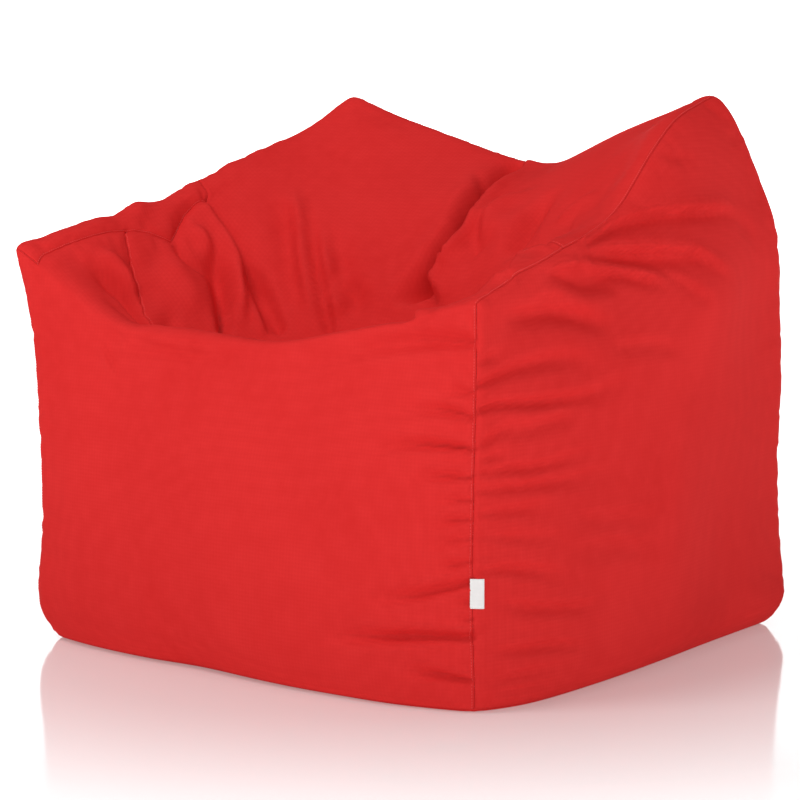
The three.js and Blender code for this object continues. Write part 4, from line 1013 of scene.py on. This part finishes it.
# ---------------------------------------------------------------- the zip
ZT = ZIP_Y - THICK - 0.35
for name, node, sign in (("zip_ribbon_upper", "zip_tape_upper", 1), ("zip_ribbon_lower", "zip_tape_lower", -1)):
    x = np.linspace(-245, 245, 99)
    z = ZIP_Z + sign * np.array([0.86, 1.6, 4.2, 7.0, 10.5, 14.0])
    z = np.sort(z)
    X, Z = np.meshgrid(x, z)
    edge = np.abs(Z - ZIP_Z)
    Y = ZT - 0.10 * np.sin(X / 11.0) * (edge > 5) + np.where(np.abs(edge - 1.6) < 0.3, 0.10, 0)
    o = thin_sheet(name, X, Y, Z, 0.55, TAPE, node)
    declare(o, 0.490, 0.0127)


def coil_teeth(name, node, sign, first):
    """The loops of a nylon coil along one tape's edge, with the cord that they are sewn round."""
    verts, faces = [], []
    arc = [(3.45, 0.05), (3.35, 0.85), (2.75, 1.55), (1.85, 1.60), (1.1, 1.05), (0.9, 0.10)]  # away from the centre line, out of the tape
    half, pitch, x = 0.42, 1.5, first
    while x < 221 - pitch:
        base = len(verts)
        for k, (a, b) in enumerate(arc):
            lean = (k / (len(arc) - 1) - 0.5) * 0.5
            inner = 0.34
            ca, cb = 2.3, 0.6
            v = np.array([a - ca, b - cb])
            v = v / max(np.linalg.norm(v), 1e-6) * inner
            for dx, (ea, eb) in ((-half, (a, b)), (half, (a, b)), (half, (a - v[0], b - v[1])), (-half, (a - v[0], b - v[1]))):
                verts.append((x + lean + dx, ZT + 0.12 + eb, ZIP_Z + sign * ea))
        for k in range(len(arc) - 1):
            for j in range(4):
                p, q = base + k * 4 + j, base + k * 4 + (j + 1) % 4
                faces.append((p, q, q + 4, p + 4) if sign > 0 else (p, p + 4, q + 4, q))
        end = base + 4 * (len(arc) - 1)
        faces.append(tuple(base + j for j in (3, 2, 1, 0)) if sign > 0 else tuple(base + j for j in (0, 1, 2, 3)))
        faces.append(tuple(end + j for j in (0, 1, 2, 3)) if sign > 0 else tuple(end + j for j in (3, 2, 1, 0)))
        x += pitch
    base, sides = len(verts), 6
    for x in np.linspace(-221, 221, 60):
        for k in range(sides):
            g = 2 * math.pi * k / sides
            verts.append((x, ZT + 0.12 + 0.75 + 0.42 * math.sin(g), ZIP_Z + sign * 2.35 + 0.5 * math.cos(g)))
    for r in range(59):
        for k in range(sides):
            p, q = base + r * sides + k, base + r * sides + (k + 1) % sides
            faces.append((p, p + sides, q + sides, q))
    faces.append(tuple(base + k for k in range(sides)))
    faces.append(tuple(base + 59 * sides + k for k in reversed(range(sides))))
    o = mesh_object(name, (np.array(verts) + SHIFT) / 1000, faces, False)
    o.data.materials.append(COIL)
    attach(o, "root")
    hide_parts(node)
    return o


coil_teeth("zip_teeth_upper", "zip_coil_upper", 1, -220.4)
coil_teeth("zip_teeth_lower", "zip_coil_lower", -1, -219.7)
for node in ("zip_slider", "zip_pull", "zip_stop_left", "zip_stop_right"):
    me = frame["nodes"][node].data
    me.materials.clear()
    me.materials.append(METAL)

# ---------------------------------------------------------------- the flag label
row = int(round((166.5 / 568) * NZ))
root = skin.P[ids["front"][row, -1]]
lies = skin.P[ids["right"][row, 3]] - root
lean = math.atan2(lies[0], lies[1]) + math.radians(9)
out_dir = np.array([math.sin(lean), math.cos(lean), 0.0])
side_dir = np.array([out_dir[1], -out_dir[0], 0.0])
loop = [(-3.0, 0.35), (-1.0, 0.38), (1.5, 0.42), (5.0, 0.62), (9.0, 0.80), (12.5, 0.78), (15.2, 0.62), (16.2, 0.36), (16.5, 0.0)]
loop = loop + [(a, -b) for a, b in reversed(loop[:-1])]
verts, faces = [], []
tall = np.linspace(-20.5, 20.5, 15)
for zz in tall:
    curl = 0.9 * (zz / 20.5) ** 2
    for a, b in loop:
        bow = 1.5 * math.sin(math.pi * max(a, 0) / 20) + curl * max(a, 0) / 16.5
        verts.append(root + out_dir * a + side_dir * (1.0 + b * 0.9 + bow) + np.array([0, 0, zz - (root[2] - 166.5)]))
m = len(loop)
for r in range(len(tall) - 1):
    for k in range(m):
        p, q = r * m + k, r * m + (k + 1) % m
        faces.append((p, q, q + m, p + m))
faces.append(tuple(k for k in reversed(range(m))))
faces.append(tuple((len(tall) - 1) * m + k for k in range(m)))
flag = mesh_object("flag_tag", (np.array(verts) + SHIFT) / 1000, faces)
flag.data.materials.append(LABEL)
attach(flag, "root")
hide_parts("flag_label")
declare(flag, 0.020, 0.041)
print("cuts", CUTS)

# ---------------------------------------------------------------- floor, light and camera
ring = [(9 * math.cos(2 * math.pi * k / 96), 9 * math.sin(2 * math.pi * k / 96)) for k in range(96)]
floor = mesh_object("floor", [(x, y, -0.0004) for x, y in ring], [tuple(range(96))], False)
wall = mesh_object("backdrop", [(x, y, -0.0004) for x, y in ring] + [(x, y, 2.4) for x, y in ring], [(k, (k + 1) % 96, 96 + (k + 1) % 96, 96 + k) for k in range(96)])
fm, ft, fb = node_material("studio_floor")
fb.inputs["Base Color"].default_value = (0.80, 0.80, 0.80, 1)
fb.inputs["Roughness"].default_value = 0.6
fb.inputs["Specular IOR Level"].default_value = 0.0
fb.inputs["Emission Color"].default_value = (1, 1, 1, 1)
where = add(ft, "ShaderNodeTexCoord").outputs["Object"]
away = add(ft, "ShaderNodeVectorMath", {"operation": "LENGTH"}, i0=where).outputs["Value"]
glow = add(ft, "ShaderNodeMapRange", **{"Value": away, "From Min": 0.6, "From Max": 2.2, "To Min": 0.40, "To Max": 1.0}).outputs[0]
ft.links.new(glow, fb.inputs["Emission Strength"])
gloss = add(ft, "ShaderNodeBsdfGlossy", Roughness=0.10)
share = add(ft, "ShaderNodeMapRange", {"interpolation_type": "SMOOTHSTEP"}, **{"Value": away, "From Min": 0.45, "From Max": 1.55, "To Min": 0.50, "To Max": 0.0}).outputs[0]
both = add(ft, "ShaderNodeMixShader", i0=share)
ft.links.new(fb.outputs[0], both.inputs[1])
ft.links.new(gloss.outputs[0], both.inputs[2])
ft.links.new(both.outputs[0], next(n for n in ft.nodes if n.type == "OUTPUT_MATERIAL").inputs[0])
floor.data.materials.append(fm)
wm, wtree, wb = node_material("studio_wall")
wb.inputs["Base Color"].default_value = (0.9, 0.9, 0.9, 1)
wb.inputs["Emission Color"].default_value = (1, 1, 1, 1)
lit = add(wtree, "ShaderNodeMapRange", **{"Value": wtree.nodes.new("ShaderNodeLightPath").outputs["Is Diffuse Ray"], "To Min": 1.0, "To Max": 0.20}).outputs[0]
wtree.links.new(lit, wb.inputs["Emission Strength"])
wall.data.materials.append(wm)

world = bpy.data.worlds.new("studio")
bpy.context.scene.world = world
world.use_nodes = True
wt = world.node_tree
seen = wt.nodes.new("ShaderNodeLightPath").outputs["Is Camera Ray"]
strength = add(wt, "ShaderNodeMapRange", **{"Value": seen, "To Min": 0.23, "To Max": 1.0}).outputs[0]
wt.nodes["Background"].inputs[0].default_value = (1, 1, 1, 1)
wt.links.new(strength, wt.nodes["Background"].inputs[1])


def area(name, place, target, size, power, colour=(1, 1, 1)):
    d = bpy.data.lights.new(name, "AREA")
    d.shape, d.size, d.size_y, d.energy, d.color = "RECTANGLE", size[0], size[1], power, colour
    o = bpy.data.objects.new(name, d)
    bpy.context.scene.collection.objects.link(o)
    o.location = place
    o.rotation_mode = "QUATERNION"
    o.rotation_quaternion = (Vector(target) - Vector(place)).to_track_quat("-Z", "Y")
    return o


area("key", (-0.8, -2.1, 3.6), (0, 0, 0.4), (1.0, 1.0), 50)
area("fill", (3.1, -2.6, 2.1), (0, 0, 0.4), (1.5, 1.5), 34)
area("top", (0.1, -0.3, 3.4), (0, 0, 0.3), (1.8, 1.8), 13)

cam_data = bpy.data.cameras.new("camera")
camera = bpy.data.objects.new("camera", cam_data)
bpy.context.scene.collection.objects.link(camera)
bpy.context.scene.camera = camera
az, pitch = math.radians(37.28), math.radians(6.68)
forward = Vector((-math.sin(az) * math.cos(pitch), math.cos(az) * math.cos(pitch), -math.sin(pitch)))
right = Vector((math.cos(az), math.sin(az), 0))
up = right.cross(forward)
camera.matrix_world = Matrix((
    (right.x, up.x, -forward.x, (2542.628 + SHIFT[0]) / 1000),
    (right.y, up.y, -forward.y, (-3370.508 + SHIFT[1]) / 1000),
    (right.z, up.z, -forward.z, 0.858),
    (0, 0, 0, 1)))
cam_data.lens, cam_data.sensor_width = 2728 / 800 * 36, 36
cam_data.clip_start, cam_data.clip_end = 0.05, 60
bpy.context.scene.view_settings.view_transform = "Standard"
